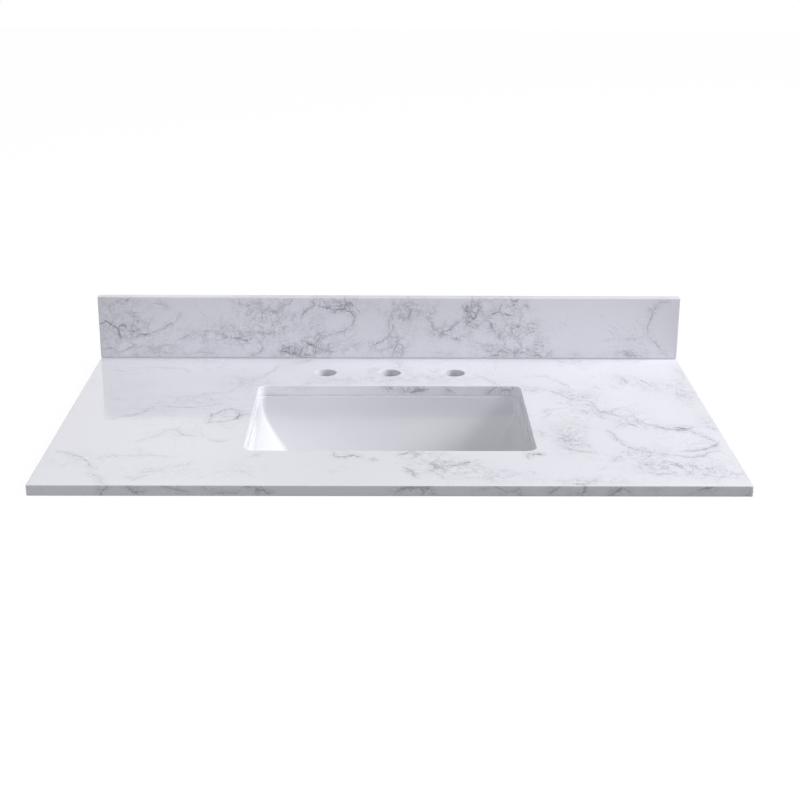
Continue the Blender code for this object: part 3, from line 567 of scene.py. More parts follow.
class StudioSettings(bpy.types.PropertyGroup):
    """The floor's level, the lamps and the camera."""

    floor_gap: bpy.props.FloatProperty(
        name="Floor gap", description="From the slab down to the floor", default=0.0005, unit="LENGTH"
    )
    pit_depth: bpy.props.FloatProperty(
        name="Pit depth", description="Hollow in the floor under the basin", default=0.26, unit="LENGTH"
    )
    key_power: bpy.props.FloatProperty(
        name="Key power", description="Big soft lamp above and to the right, in watts", default=193.0
    )
    fill_power: bpy.props.FloatProperty(
        name="Fill power", description="Weak soft lamp in front, in watts", default=13.5
    )
    sky: bpy.props.FloatProperty(
        name="Sky light", description="How strongly the world lights the top", default=0.375, subtype="FACTOR"
    )
    lens: bpy.props.FloatProperty(name="Lens", description="Focal length in millimetres", default=67.05)


def show_only(piece):
    """Leaves edit mode, and makes this the one selected and active object."""
    if bpy.context.mode != "OBJECT":
        bpy.ops.object.mode_set(mode="OBJECT")
    bpy.ops.object.select_all(action="DESELECT")
    if piece:
        piece.select_set(True)
        bpy.context.view_layer.objects.active = piece


def start_edit(piece, kind):
    show_only(piece)
    bpy.ops.object.mode_set(mode="EDIT")
    bpy.ops.mesh.select_mode(type=kind)


def choose(piece, wanted, kind):
    """In edit mode, selects only the edges or faces that pass the test."""
    bpy.ops.mesh.select_all(action="DESELECT")
    shape = bmesh.from_edit_mesh(piece.data)
    shape.normal_update()
    for part in getattr(shape, kind):
        if wanted(part):
            part.select_set(True)
    bmesh.update_edit_mesh(piece.data)


def named(name):
    """Names the new primitive, and moves its place and size into its mesh."""
    piece = bpy.context.active_object
    piece.name = piece.data.name = name
    bpy.ops.object.transform_apply(location=True, rotation=True, scale=True)
    return piece


def new_block(name, low, high):
    show_only(None)
    low, high = Vector(low), Vector(high)
    bpy.ops.mesh.primitive_cube_add(size=1, location=(low + high) / 2, scale=high - low)
    return named(name)


def new_rod(name, place, radius, low, high, sides):
    show_only(None)
    bpy.ops.mesh.primitive_cylinder_add(
        vertices=sides, radius=radius, depth=high - low, location=(place[0], place[1], (low + high) / 2)
    )
    return named(name)


def is_upright(edge):
    start, end = (vert.co for vert in edge.verts)
    return math.hypot(end.x - start.x, end.y - start.y) < SAME_POINT


def is_level(edge):
    return abs(edge.verts[0].co.z - edge.verts[1].co.z) < SAME_POINT


def is_corner(edge):
    return len(edge.link_faces) == 2 and edge.calc_face_angle() > CORNER_ANGLE


def is_level_corner(edge):
    return is_level(edge) and is_corner(edge)


def bevel_edges(piece, wanted, width, segments):
    start_edit(piece, "EDGE")
    choose(piece, wanted, "edges")
    bpy.ops.mesh.bevel(offset=width, segments=segments, affect="EDGES")
    bpy.ops.object.mode_set(mode="OBJECT")


def apply_modifier(piece, kind, **settings):
    show_only(piece)
    modifier = piece.modifiers.new(kind.lower(), kind)
    for key, value in settings.items():
        setattr(modifier, key, value)
    bpy.ops.object.modifier_apply(modifier=modifier.name)


def combine(piece, tool, operation):
    """Cuts the tool out of the piece or joins it on, and removes the tool."""
    apply_modifier(piece, "BOOLEAN", object=tool, operation=operation, solver="EXACT")
    bpy.data.objects.remove(tool)


def dice(piece, pitch, is_plain):
    """Cuts every face but the plain ones into a grid, so that the points carry a pattern."""
    start_edit(piece, "FACE")
    choose(piece, is_plain, "faces")
    bpy.ops.mesh.hide()
    low, high = (Vector(corner) for corner in (piece.bound_box[0], piece.bound_box[6]))
    for axis in range(3):
        steps = round((high[axis] - low[axis]) / pitch)
        normal = Vector((0, 0, 0))
        normal[axis] = 1
        for step in range(1, steps):
            level = low[axis] + (high[axis] - low[axis]) * step / steps
            bpy.ops.mesh.select_all(action="SELECT")
            bpy.ops.mesh.bisect(plane_co=normal * level, plane_no=normal, threshold=SAME_POINT)
    bpy.ops.mesh.reveal()
    bpy.ops.object.mode_set(mode="OBJECT")


def smooth(piece):
    show_only(piece)
    bpy.ops.object.shade_smooth_by_angle(angle=SMOOTH_ANGLE)
    for polygon in piece.data.polygons:
        polygon.material_index = 0


def finish_piece(piece, material, slot, *nodes, flat_faces=False):
    """Gives a piece its finish, and puts it in place of the CAD nodes that it stands for."""
    piece.data.materials.clear()
    piece.data.materials.append(material)
    smooth(piece)
    if flat_faces:
        apply_modifier(piece, "WEIGHTED_NORMAL", mode="FACE_AREA", weight=100, keep_sharp=True)
    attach(piece, BODY)
    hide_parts(*nodes)


def rounded_rectangle(half_x, half_y, radius, bow=0.0):
    """A closed outline with round corners, anticlockwise. Bow pushes the middle of each side outwards."""
    flat_x, flat_y = half_x - radius, half_y - radius
    corners = ((flat_x, flat_y), (-flat_x, flat_y), (-flat_x, -flat_y), (flat_x, -flat_y))
    outline = []
    for quarter, (x, y) in enumerate(corners):
        turns = [math.pi / 2 * (quarter + step / CORNER_STEPS) for step in range(CORNER_STEPS + 1)]
        arc = [Vector((x + radius * math.cos(turn), y + radius * math.sin(turn))) for turn in turns]
        next_x, next_y = corners[(quarter + 1) % len(corners)]
        side_end = Vector((next_x + radius * math.cos(turns[-1]), next_y + radius * math.sin(turns[-1])))
        outline += arc + [arc[-1].lerp(side_end, step / SIDE_STEPS) for step in range(1, SIDE_STEPS)]
    for point in outline:
        point.x, point.y = (
            point.x + bow * (1 - (point.y / half_y) ** 2) * point.x / half_x,
            point.y + bow * (1 - (point.x / half_x) ** 2) * point.y / half_y,
        )
    return outline


def extruded_rings(name, rings):
    """A circle set on the first ring, then extruded from ring to ring. Points that meet are joined."""
    show_only(None)
    bpy.ops.mesh.primitive_circle_add(vertices=len(rings[0]))
    piece = named(name)
    start_edit(piece, "EDGE")
    shape = bmesh.from_edit_mesh(piece.data)
    order = shape.verts.layers.int.new("order")
    for index, vert in enumerate(shape.verts):
        vert[order] = index
        vert.co = rings[0][index]
        vert.select_set(True)
    shape.select_flush(True)
    bmesh.update_edit_mesh(piece.data)
    for ring in rings[1:]:
        bpy.ops.mesh.extrude_region_move()
        shape = bmesh.from_edit_mesh(piece.data)
        order = shape.verts.layers.int["order"]
        for vert in shape.verts:
            if vert.select:
                vert.co = ring[vert[order]]
        bmesh.update_edit_mesh(piece.data)
    bpy.ops.mesh.select_all(action="SELECT")
    bpy.ops.mesh.remove_doubles(threshold=SAME_POINT)
    bpy.ops.mesh.normals_make_consistent(inside=False)
    bpy.ops.object.mode_set(mode="OBJECT")
    piece.data.attributes.remove(piece.data.attributes["order"])
    return piece


# Materials


def new_material(name):
    material = bpy.data.materials.new(name)
    material.use_nodes = True
    return material, material.node_tree, material.node_tree.nodes["Principled BSDF"]


def put(tree, kind, sockets=None, **settings):
    """Adds a node. Each socket takes a value, or another node's output."""
    node = tree.nodes.new(kind)
    for key, value in settings.items():
        setattr(node, key, value)
    for key, value in (sockets or {}).items():
        if isinstance(value, bpy.types.NodeSocket):
            tree.links.new(value, node.inputs[key])
        else:
            node.inputs[key].default_value = value
    return node


def calc(tree, operation, first, second=0.0, clamp=False):
    return put(tree, "ShaderNodeMath", {0: first, 1: second}, operation=operation, use_clamp=clamp).outputs[0]


def product(tree, *values, clamp=False):
    """All the values multiplied together."""
    total = values[0]
    for value in values[1:]:
        total = calc(tree, "MULTIPLY", total, value, clamp)
    return total


def from_middle(tree, value):
    """A value between 0 and 1, measured from its middle."""
    return calc(tree, "SUBTRACT", value, 0.5)


def noise_of(tree, coords, size, detail=4.0, rough=0.55, bend=0.0):
    """Noise whose features are about this size in metres."""
    sockets = {"Vector": coords, "Scale": 1 / size, "Detail": detail, "Roughness": rough, "Distortion": bend}
    return put(tree, "ShaderNodeTexNoise", sockets).outputs[0]


def ease_between(tree, value, start, end, low=0.0, high=1.0):
    sockets = {"Value": value, "From Min": start, "From Max": end, "To Min": low, "To Max": high}
    return put(tree, "ShaderNodeMapRange", sockets, interpolation_type="SMOOTHSTEP").outputs[0]


def colour_mix(tree, share, first, second):
    node = put(tree, "ShaderNodeMix", data_type="RGBA", clamp_factor=True)
    for index, value in ((0, share), (6, first), (7, second)):
        if isinstance(value, bpy.types.NodeSocket):
            tree.links.new(value, node.inputs[index])
        else:
            node.inputs[index].default_value = value
    return node.outputs[2]


def bumped(tree, shader, height, distance):
    bump = put(tree, "ShaderNodeBump", {"Height": height, "Distance": distance, "Strength": 1.0})
    tree.links.new(bump.outputs["Normal"], shader.inputs["Normal"])


def object_coords(tree):
    return put(tree, "ShaderNodeTexCoord").outputs["Object"]


def dulled(roughness):
    """The least and most roughness of a finish that is worn unevenly."""
    return roughness, roughness + 0.03


def ridges(tree, coords, size, width):
    """Thin branching lines, 1 on a line and 0 away from it, about this size apart in metres."""
    folds = noise_of(tree, coords, size, 5.0, 0.6, 1.4)
    return ease_between(tree, calc(tree, "ABSOLUTE", from_middle(tree, folds)), 0.0, width, 1.0, 0.0)


def vector_calc(tree, operation, first, second):
    """Vector arithmetic. The second value is a vector, or the factor of a SCALE."""
    key = "Scale" if operation == "SCALE" else 1
    return put(tree, "ShaderNodeVectorMath", {0: first, key: second}, operation=operation).outputs[0]


def from_border(tree, coords, size):
    """How far inside a crumpled cell a point is, as a share of the cells' size in metres."""
    ripple = {"Vector": coords, "Scale": 2.0 / size, "Detail": 4.0}
    shift = put(tree, "ShaderNodeTexNoise", ripple).outputs["Color"]
    shift = vector_calc(tree, "SUBTRACT", shift, (0.5, 0.5, 0.5))
    moved = vector_calc(tree, "ADD", coords, vector_calc(tree, "SCALE", shift, size * 0.8))
    cells = {"Vector": moved, "Scale": 1 / size}
    return put(tree, "ShaderNodeTexVoronoi", cells, feature="DISTANCE_TO_EDGE").outputs["Distance"]


def strand(tree, line, shift, reach, width, edge):
    """A thin line where the signed distance plus a shift of up to this reach is zero. All in millimetres."""
    moved = calc(tree, "ADD", line, product(tree, from_middle(tree, shift), reach))
    gap = calc(tree, "SUBTRACT", calc(tree, "ABSOLUTE", moved), width)
    return ease_between(tree, gap, 0.0, edge, 1.0, 0.0)


def held_veins(tree):
    """What the mesh's points hold: signed distance to the nearest vein, distance, darkness, and the smoke."""
    held = put(tree, "ShaderNodeAttribute", attribute_name="vein_line", attribute_type="GEOMETRY")
    parts = put(tree, "ShaderNodeSeparateXYZ", {"Vector": held.outputs["Vector"]}).outputs
    smoke = put(tree, "ShaderNodeAttribute", attribute_name="vein_smoke", attribute_type="GEOMETRY")
    return (*parts, smoke.outputs["Fac"])


def drawn_veins(tree, coords, held, fray, wander, patch):
    """The listed veins: a frayed main line, and two thin strands that wander about it."""
    line, distance, tone, _ = held
    near = ease_between(tree, distance, 2.0, 12.0, 1.0, 0.0)
    width = ease_between(tree, patch, 0.34, 0.64, 0.0, 1.0)
    frayed = calc(tree, "ADD", line, product(tree, from_middle(tree, fray), 6.0))
    main_line = strand(tree, frayed, wander, 9.0, width, 0.9)
    main_line = product(tree, main_line, ease_between(tree, patch, 0.32, 0.56, 0.4, 1.1))
    braid = noise_of(tree, coords, 0.010, 4.0, 0.65, 0.8)
    side_line = strand(tree, line, wander, 36.0, product(tree, width, 0.4), 1.1)
    third_line = strand(tree, line, braid, 52.0, product(tree, width, 0.3), 1.0)
    breaks = ease_between(tree, fray, 0.36, 0.58, 0.1, 0.85)
    side_lines = product(tree, calc(tree, "MAXIMUM", side_line, third_line), breaks)
    return product(tree, calc(tree, "MAXIMUM", main_line, side_lines), tone, near)


def crackle_of(tree, coords, shade, fray, wander):
    """Broken borders of crumpled cells in the shaded stone, and how near a wide cell's border is."""
    wide_cells, small_cells = from_border(tree, coords, 0.030), from_border(tree, coords, 0.014)
    rind = ease_between(tree, wide_cells, 0.06, 0.30, 1.0, 0.12)
    wide_border = ease_between(tree, wide_cells, 0.0, 0.045, 1.0, 0.0)
    small_border = product(tree, ease_between(tree, small_cells, 0.0, 0.08, 1.0, 0.0), rind)
    thinned = ease_between(tree, wander, 0.4, 0.6, 0.3, 1.0)
    broken = ease_between(tree, fray, 0.34, 0.52, 0.4, 1.0)
    held_back = product(tree, shade, 1.25, clamp=True)
    return product(tree, calc(tree, "MAXIMUM", wide_border, small_border), thinned, broken, held_back), rind


def fine_webs(tree, coords, shade, rind, fray):
    """Speckled nets of fine lines in the shaded stone, and a few long hairs elsewhere."""
    fine_net = product(tree, ridges(tree, coords, 0.013, 0.06), 0.55, rind)
    wide_net = product(tree, ridges(tree, coords, 0.030, 0.035), 0.85)
    net = product(tree, calc(tree, "MAXIMUM", fine_net, wide_net), shade)
    where = ease_between(tree, noise_of(tree, coords, 0.12, 2.0), 0.45, 0.64, 0.0, 0.25)
    hairs = product(tree, ridges(tree, coords, 0.085, 0.018), where)
    speckle = ease_between(tree, fray, 0.36, 0.58, 0.2, 1.0)
    return product(tree, calc(tree, "MAXIMUM", net, hairs), speckle)


def stone_material(settings):
    """Polished white stone, with the veins that its mesh's points hold, and webs and haze about them."""
    material, tree, shader = new_material("polished_veined_stone")
    coords = object_coords(tree)
    held = held_veins(tree)
    _, distance, tone, smoke = held
    fray = noise_of(tree, coords, 0.0055, 6.0, 0.72)
    wander = noise_of(tree, coords, 0.016, 4.0, 0.6)
    patch = noise_of(tree, coords, 0.012, 3.0, 0.6, 0.6)
    drawn = drawn_veins(tree, coords, held, fray, wander, patch)

    around = product(tree, ease_between(tree, distance, 3.0, 14.0, 1.0, 0.0), tone, 0.6)
    shade = calc(tree, "MAXIMUM", smoke, around)
    crackle, rind = crackle_of(tree, coords, shade, fray, wander)
    webs = calc(tree, "MAXIMUM", fine_webs(tree, coords, shade, rind, fray), crackle)

    cloud = ease_between(tree, noise_of(tree, coords, 0.011, 6.0, 0.7), 0.40, 0.68)
    haze = product(tree, cloud, rind, smoke, 0.18)
    veil = product(tree, ease_between(tree, distance, 0.0, 12.0, 1.0, 0.0), cloud, tone, 0.2)
    soft = calc(tree, "ADD", haze, veil)
    darkness = calc(tree, "ADD", calc(tree, "MAXIMUM", drawn, webs), soft, clamp=True)

    body = colour_mix(tree, noise_of(tree, coords, 0.25, 2.0), (*settings.body_colour, 1), PALER_BODY)
    tint = colour_mix(tree, patch, (*settings.vein_colour, 1), PALER_VEIN)
    tree.links.new(colour_mix(tree, darkness, body, tint), shader.inputs["Base Color"])
    worn = ease_between(tree, noise_of(tree, coords, 0.05, 3.0), 0.3, 0.7, *dulled(settings.roughness))
    tree.links.new(worn, shader.inputs["Roughness"])
    shader.inputs["IOR"].default_value = 1.5
    bumped(tree, shader, noise_of(tree, coords, 0.06, 2.0), 0.00006)
    return material


def glaze_material(settings):
    """White glaze over fireclay, with the slight waves of a fired coat."""
    material, tree, shader = new_material("white_glaze")
    coords = object_coords(tree)
    cloud = noise_of(tree, coords, 0.09, 3.0)
    pale = tuple(min(1.0, channel * 1.015) for channel in settings.glaze_colour)
    glaze = colour_mix(tree, cloud, (*settings.glaze_colour, 1), (*pale, 1))
    tree.links.new(glaze, shader.inputs["Base Color"])
    smears = noise_of(tree, coords, 0.03, 4.0)
    worn = ease_between(tree, smears, 0.35, 0.75, *dulled(settings.glaze_roughness))
    tree.links.new(worn, shader.inputs["Roughness"])
    shader.inputs["IOR"].default_value = 1.5
    shader.inputs["Coat Weight"].default_value = 0.35
    shader.inputs["Coat Roughness"].default_value = 0.02
    bumped(tree, shader, noise_of(tree, coords, 0.05, 1.0, 0.4), 0.0001)
    return material


def sealant_material(settings):
    """Cured silicone, satin and slightly uneven."""
    material, tree, shader = new_material("cured_silicone")
    coords = object_coords(tree)
    dusty = tuple(channel * 0.88 for channel in settings.sealant_colour)
    share = ease_between(tree, noise_of(tree, coords, 0.012, 4.0), 0.4, 0.8)
    silicone = colour_mix(tree, share, (*settings.sealant_colour, 1), (*dusty, 1))
    tree.links.new(silicone, shader.inputs["Base Color"])
    tree.links.new(ease_between(tree, share, 0.0, 1.0, 0.32, 0.5), shader.inputs["Roughness"])
    shader.inputs["Subsurface Weight"].default_value = 0.15
    shader.inputs["Subsurface Scale"].default_value = 0.002
    bumped(tree, shader, noise_of(tree, coords, 0.004, 3.0), 0.00015)
    return material


def zinc_material(settings):
    """Bright zinc plate over rolled steel: cool grey, with faint blotches and fine rolling lines."""
    material, tree, shader = new_material("zinc_plate")
    coords = object_coords(tree)
    blotch = ease_between(tree, noise_of(tree, coords, 0.006, 5.0, 0.6), 0.3, 0.72)
    dark = tuple(channel * 0.78 for channel in settings.zinc_colour)
    plate = colour_mix(tree, blotch, (*settings.zinc_colour, 1), (*dark, 1))
    tree.links.new(plate, shader.inputs["Base Color"])
    shader.inputs["Metallic"].default_value = 1.0
    tree.links.new(ease_between(tree, blotch, 0.0, 1.0, 0.24, 0.42), shader.inputs["Roughness"])
    drawn_out = put(tree, "ShaderNodeMapping", {"Vector": coords, "Scale": (1.0, 12.0, 12.0)}).outputs[0]
    bumped(tree, shader, noise_of(tree, drawn_out, 0.004, 3.0), 0.00003)
    return material


def brass_material(settings):
    """Turned brass: warm, with rings left by the tool and a little tarnish."""
    material, tree, shader = new_material("turned_brass")
    coords = object_coords(tree)
    tarnish = ease_between(tree, noise_of(tree, coords, 0.004, 5.0, 0.6), 0.35, 0.75)
    dark = tuple(channel * share for channel, share in zip(settings.brass_colour, BRASS_TARNISH))
    brass = colour_mix(tree, tarnish, (*settings.brass_colour, 1), (*dark, 1))
    tree.links.new(brass, shader.inputs["Base Color"])
    shader.inputs["Metallic"].default_value = 1.0
    tree.links.new(ease_between(tree, tarnish, 0.0, 1.0, 0.22, 0.40), shader.inputs["Roughness"])
    rings = put(tree, "ShaderNodeMapping", {"Vector": coords, "Scale": (0.2, 0.2, 6.0)}).outputs[0]
    bumped(tree, shader, noise_of(tree, rings, 0.002, 2.0), 0.00003)
    return material


# Stone


def drifted(point, drift):
    """A point moved a little by smooth noise, in millimetres, so that a drawn path wanders as a vein does."""
    place = Vector((point[0], point[1], 0.0))
    wide = noise.noise_vector(place / WIDE_WAVE)
    close = noise.noise_vector(place / CLOSE_WAVE)
    moved = place + (wide * WIDE_SHARE + close * CLOSE_SHARE) * drift / MM
    return moved.x, moved.y


def vein_values(points, veins, smoke, drift):
    """For points in millimetres: signed distance to the nearest vein, distance, its darkness, the smoke."""
    points = np.array([drifted(point, drift) for point in points]).reshape(-1, 2)
    nearest = np.full(len(points), FAR_AWAY)
    signed = nearest.copy()
    tone = np.zeros(len(points))
    for darkness, *path in veins:
        path = np.array(path, float)
        for index, (start, end) in enumerate(zip(path, path[1:])):
            along = end - start
            from_start = points - start
            share = np.clip(from_start @ along / (along @ along), 0.0, 1.0)
            away = np.linalg.norm(from_start - share[:, None] * along, axis=1)
            side = np.sign(along[0] * from_start[:, 1] - along[1] * from_start[:, 0])
            closer = away < nearest
            nearest[closer] = away[closer]
            signed[closer] = (away * side)[closer]
            run = (index + share[closer]) / (len(path) - 1)
            tone[closer] = darkness * (TIP_TONE + (1 - TIP_TONE) * np.sin(math.pi * run))
    haze = np.zeros(len(points))
    for strength, x, y, reach_x, reach_y in smoke:
        across, up = (points[:, 0] - x) / reach_x, (points[:, 1] - y) / reach_y
        haze += strength * np.exp(-(across**2) - up**2)
    return np.stack([signed, nearest, tone, haze], axis=1)


def write_veins(piece, values):
    held = piece.data.attributes.new("vein_line", "FLOAT_VECTOR", "POINT")
    held.data.foreach_set("vector", np.ascontiguousarray(values[:, :3], np.float32).ravel())
    held = piece.data.attributes.new("vein_smoke", "FLOAT", "POINT")
    held.data.foreach_set("value", np.ascontiguousarray(values[:, 3], np.float32))


def mesh_points(piece):
    flat = np.empty(len(piece.data.vertices) * 3, np.float32)
    piece.data.vertices.foreach_get("co", flat)
    return flat.reshape(-1, 3) / MM


def is_sawn(edge):
    """The cutout's lower edge, which is left nearly sharp because the sealant hides it."""
    x, y, z = edge.verts[0].co
    in_reach = abs(x) < CUTOUT_HALF_X + SAME_POINT and abs(y - BASIN_Y) < CUTOUT_HALF_Y + SAME_POINT
    return in_reach and z < TOP_LOW.z + SAME_POINT


def is_hole_rim(edge):
    x, y = edge.verts[0].co.xy
    nearest = min(math.hypot(x - hole_x, y - TAP_HOLES_Y) for hole_x in TAP_HOLES_X)
    return abs(nearest - TAP_HOLE_RADIUS) < HOLE_RIM_REACH and is_level_corner(edge)


def make_slab(settings):
    """A block with round corners, a cutout, three tap holes and eased edges, diced for the veins."""
    slab = new_block("veined_slab", TOP_LOW, TOP_HIGH)
    bevel_edges(slab, is_upright, settings.corner_radius, 4)
    below, above = TOP_LOW.z - OVERRUN, TOP_HIGH.z + OVERRUN
    cutout = new_block(
        "cutout",
        (-CUTOUT_HALF_X, BASIN_Y - CUTOUT_HALF_Y, below),
        (CUTOUT_HALF_X, BASIN_Y + CUTOUT_HALF_Y, above),
    )
    bevel_edges(cutout, is_upright, CUTOUT_RADIUS, 12)
    combine(slab, cutout, "DIFFERENCE")
    bevel_edges(slab, lambda edge: is_level_corner(edge) and not is_sawn(edge), settings.arris, 3)
    bevel_edges(slab, lambda edge: is_level_corner(edge) and is_sawn(edge), SAWN_EASING, 1)
    for x in TAP_HOLES_X:
        hole = new_rod("tap_hole", (x, TAP_HOLES_Y), TAP_HOLE_RADIUS, below, above, SEAT_SIDES)
        combine(slab, hole, "DIFFERENCE")
    bevel_edges(slab, is_hole_rim, settings.hole_arris, 2)
    for place in CLIP_PLACES:
        low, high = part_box(f"anchor_{place}")
        middle = (low + high) / 2
        hole = new_rod("anchor_hole", middle, ANCHOR_HOLE_RADIUS, below, ANCHOR_HOLE_DEPTH, ANCHOR_HOLE_SIDES)
        combine(slab, hole, "DIFFERENCE")
    dice(slab, settings.mesh_pitch, lambda face: face.normal.z < -FACING)
    return slab


def slab_veins(slab, settings):
    """Each point takes the veins of its face: the top, the front edge or the cutout's rear wall."""
    points = mesh_points(slab)
    x, y, z = points.T
    top = z > TOP_HIGH.z / MM - TOP_BAND
    front = ~top & (y < TOP_LOW.y / MM + FRONT_BAND)
    rear_wall = ~top & (np.abs(x) < CUTOUT_HALF_X / MM + WALL_MARGIN)
    rear_wall &= (y > (BASIN_Y + CUTOUT_HALF_Y) / MM - WALL_BAND) & (y < WALL_REAR)
    values = vein_values(points[:, :2], TOP_VEINS, TOP_SMOKE, settings.drift)
    for face, veins, smoke in ((front, FRONT_VEINS, FRONT_SMOKE), (rear_wall, CUTOUT_VEINS, CUTOUT_SMOKE)):
        values[face] = vein_values(points[face][:, [0, 2]], veins, smoke, settings.drift * SIDE_DRIFT)
    write_veins(slab, values)


class VANITY_OT_slab(bpy.types.Operator):
    """Makes the veined slab with its cutout and tap holes"""

    bl_idname = "vanity.slab"
    bl_label = "Stone Slab"

    def execute(self, context):
        settings = context.scene.vanity_stone
        slab = make_slab(settings)
        slab_veins(slab, settings)
        finish_piece(slab, stone_material(settings), "stone", "stone_top", flat_faces=True)
        return {"FINISHED"}


class VANITY_OT_backsplash(bpy.types.Operator):
    """Makes the veined backsplash strip"""

    bl_idname = "vanity.backsplash"
    bl_label = "Backsplash"

    def execute(self, context):
        settings = context.scene.vanity_stone
        strip = new_block("veined_backsplash", SPLASH_LOW, SPLASH_HIGH)
        bevel_edges(strip, is_corner, settings.arris, 3)
        dice(strip, settings.mesh_pitch, lambda face: face.normal.y > FACING or face.normal.z < -FACING)
        points = mesh_points(strip)[:, [0, 2]]
        write_veins(strip, vein_values(points, SPLASH_VEINS, SPLASH_SMOKE, settings.drift * SPLASH_DRIFT))
        stone = bpy.data.materials["polished_veined_stone"]
        finish_piece(strip, stone, "stone", "backsplash", flat_faces=True)
        return {"FINISHED"}


# Basin


def ramp(distance):
    """Zero above the start of the lean, then as deep as the distance, with an eased bend between."""
    return (distance + math.hypot(distance, WALL_EASE)) / 2


def wall_inset(depth, lean, thickness=0.0):
    """How far the bowl's wall stands in from its mouth at a depth, or its outside, a wall thickness out."""
    foot_radius = FOOT_RADIUS + thickness
    floor_depth = BOWL_DEPTH + thickness
    foot_start = floor_depth - foot_radius * (1 - math.sin(lean))
    straight = math.tan(lean) * ramp(min(depth, foot_start) - WALL_DROP) - thickness / math.cos(lean)
    if depth <= foot_start:
        return straight
    turn = math.asin(min(1.0, (depth - floor_depth) / foot_radius + 1))
    return straight + foot_radius * (math.cos(lean) - math.cos(turn))


def bowl_ring(inset_x, inset_y, depth, corner, bow=0.0):
    """One level section of the basin, at a depth below its rim."""
    half_x = MOUTH_HALF_X - inset_x - bow
    half_y = MOUTH_HALF_Y - inset_y - bow
    corner = min(corner, MOST_CORNER_SHARE * min(half_x, half_y))
    outline = rounded_rectangle(half_x, half_y, corner, bow)
    return [Vector((point.x, point.y + BASIN_Y, RIM_LEVEL - depth)) for point in outline]


def wall_ring(depth, thickness=0.0):
    share = max(0.0, min(1.0, depth / BOWL_DEPTH))
    widening = (FLOOR_CORNER_RADIUS - MOUTH_CORNER_RADIUS) * share**CORNER_LATENESS
    pinch = CORNER_PINCH * math.sin(min(1.0, depth / PINCH_DEPTH) * math.pi / 2)
    corner = MOUTH_CORNER_RADIUS + widening - pinch + thickness
    inset_x = wall_inset(depth, SIDE_LEAN, thickness)
    inset_y = wall_inset(depth, END_LEAN, thickness)
    return bowl_ring(inset_x, inset_y, depth, corner, FLOOR_BOW * share)


def wall_depths(thickness, top, wall_steps, foot_steps):
    """Depths of the rings down the wall and round its foot, which ends a little short of level."""
    foot_radius = FOOT_RADIUS + thickness
    floor_depth = BOWL_DEPTH + thickness
    foot_start = floor_depth - foot_radius * (1 - math.sin(SIDE_LEAN))
    foot_end = math.pi / 2 - FLOOR_TILT
    depths = [top + (foot_start - top) * step / wall_steps for step in range(wall_steps)]
    for step in range(foot_steps + 1):
        turn = SIDE_LEAN + (foot_end - SIDE_LEAN) * step / foot_steps
        depths.append(floor_depth - foot_radius * (1 - math.sin(turn)))
    return depths


def to_circle(ring, radius, depth, share=1.0):
    """A ring drawn part of the way to a circle about the drain."""
    made = []
    for point in ring:
        turn = math.atan2(point.y - BASIN_Y, point.x)
        goal = Vector((radius * math.cos(turn), BASIN_Y + radius * math.sin(turn), RIM_LEVEL - depth))
        made.append(point.lerp(goal, share))
    return made


def quarter_turns(steps):
    return [math.pi / 2 * step / steps for step in range(steps + 1)]


def round_over(radius, turn):
    """A point of a quarter round from level to upright: how far out it still is, and how far down already."""
    return radius * (1 - math.sin(turn)), radius * (1 - math.cos(turn))


def bowl_inside():
    """Rings from the drain's bore up the inside of the bowl and over its lip."""
    down = []
    for turn in quarter_turns(7)[:-1]:
        out, drop = round_over(LIP_RADIUS, turn)
        down.append(bowl_ring(-out, -out, drop, MOUTH_CORNER_RADIUS + out))
    down += [wall_ring(depth) for depth in wall_depths(0.0, LIP_RADIUS, wall_steps=26, foot_steps=14)]
    edge = down[-1]
    for share in (0.25, 0.5, 0.75):
        down.append(to_circle(edge, RECESS_RADIUS + RECESS_ROUND, DRAIN_DEPTH, share))
    for turn in quarter_turns(4):
        out, drop = round_over(RECESS_ROUND, turn)
        down.append(to_circle(edge, RECESS_RADIUS + out, DRAIN_DEPTH + drop))
    down.append(to_circle(edge, RECESS_RADIUS, RECESS_DEPTH))
    down.append(to_circle(edge, BORE_RADIUS + RECESS_ROUND / 2, RECESS_DEPTH))
    down.append(to_circle(edge, BORE_RADIUS, RECESS_DEPTH + RECESS_ROUND / 2))
    return down[::-1]


def flange_ring(back, depth):
    """One level section of the flange, this far in from its outer edge."""
    inset = -FLANGE_WIDTH + back
    return bowl_ring(inset, inset, depth, FLANGE_CORNER_RADIUS - back)


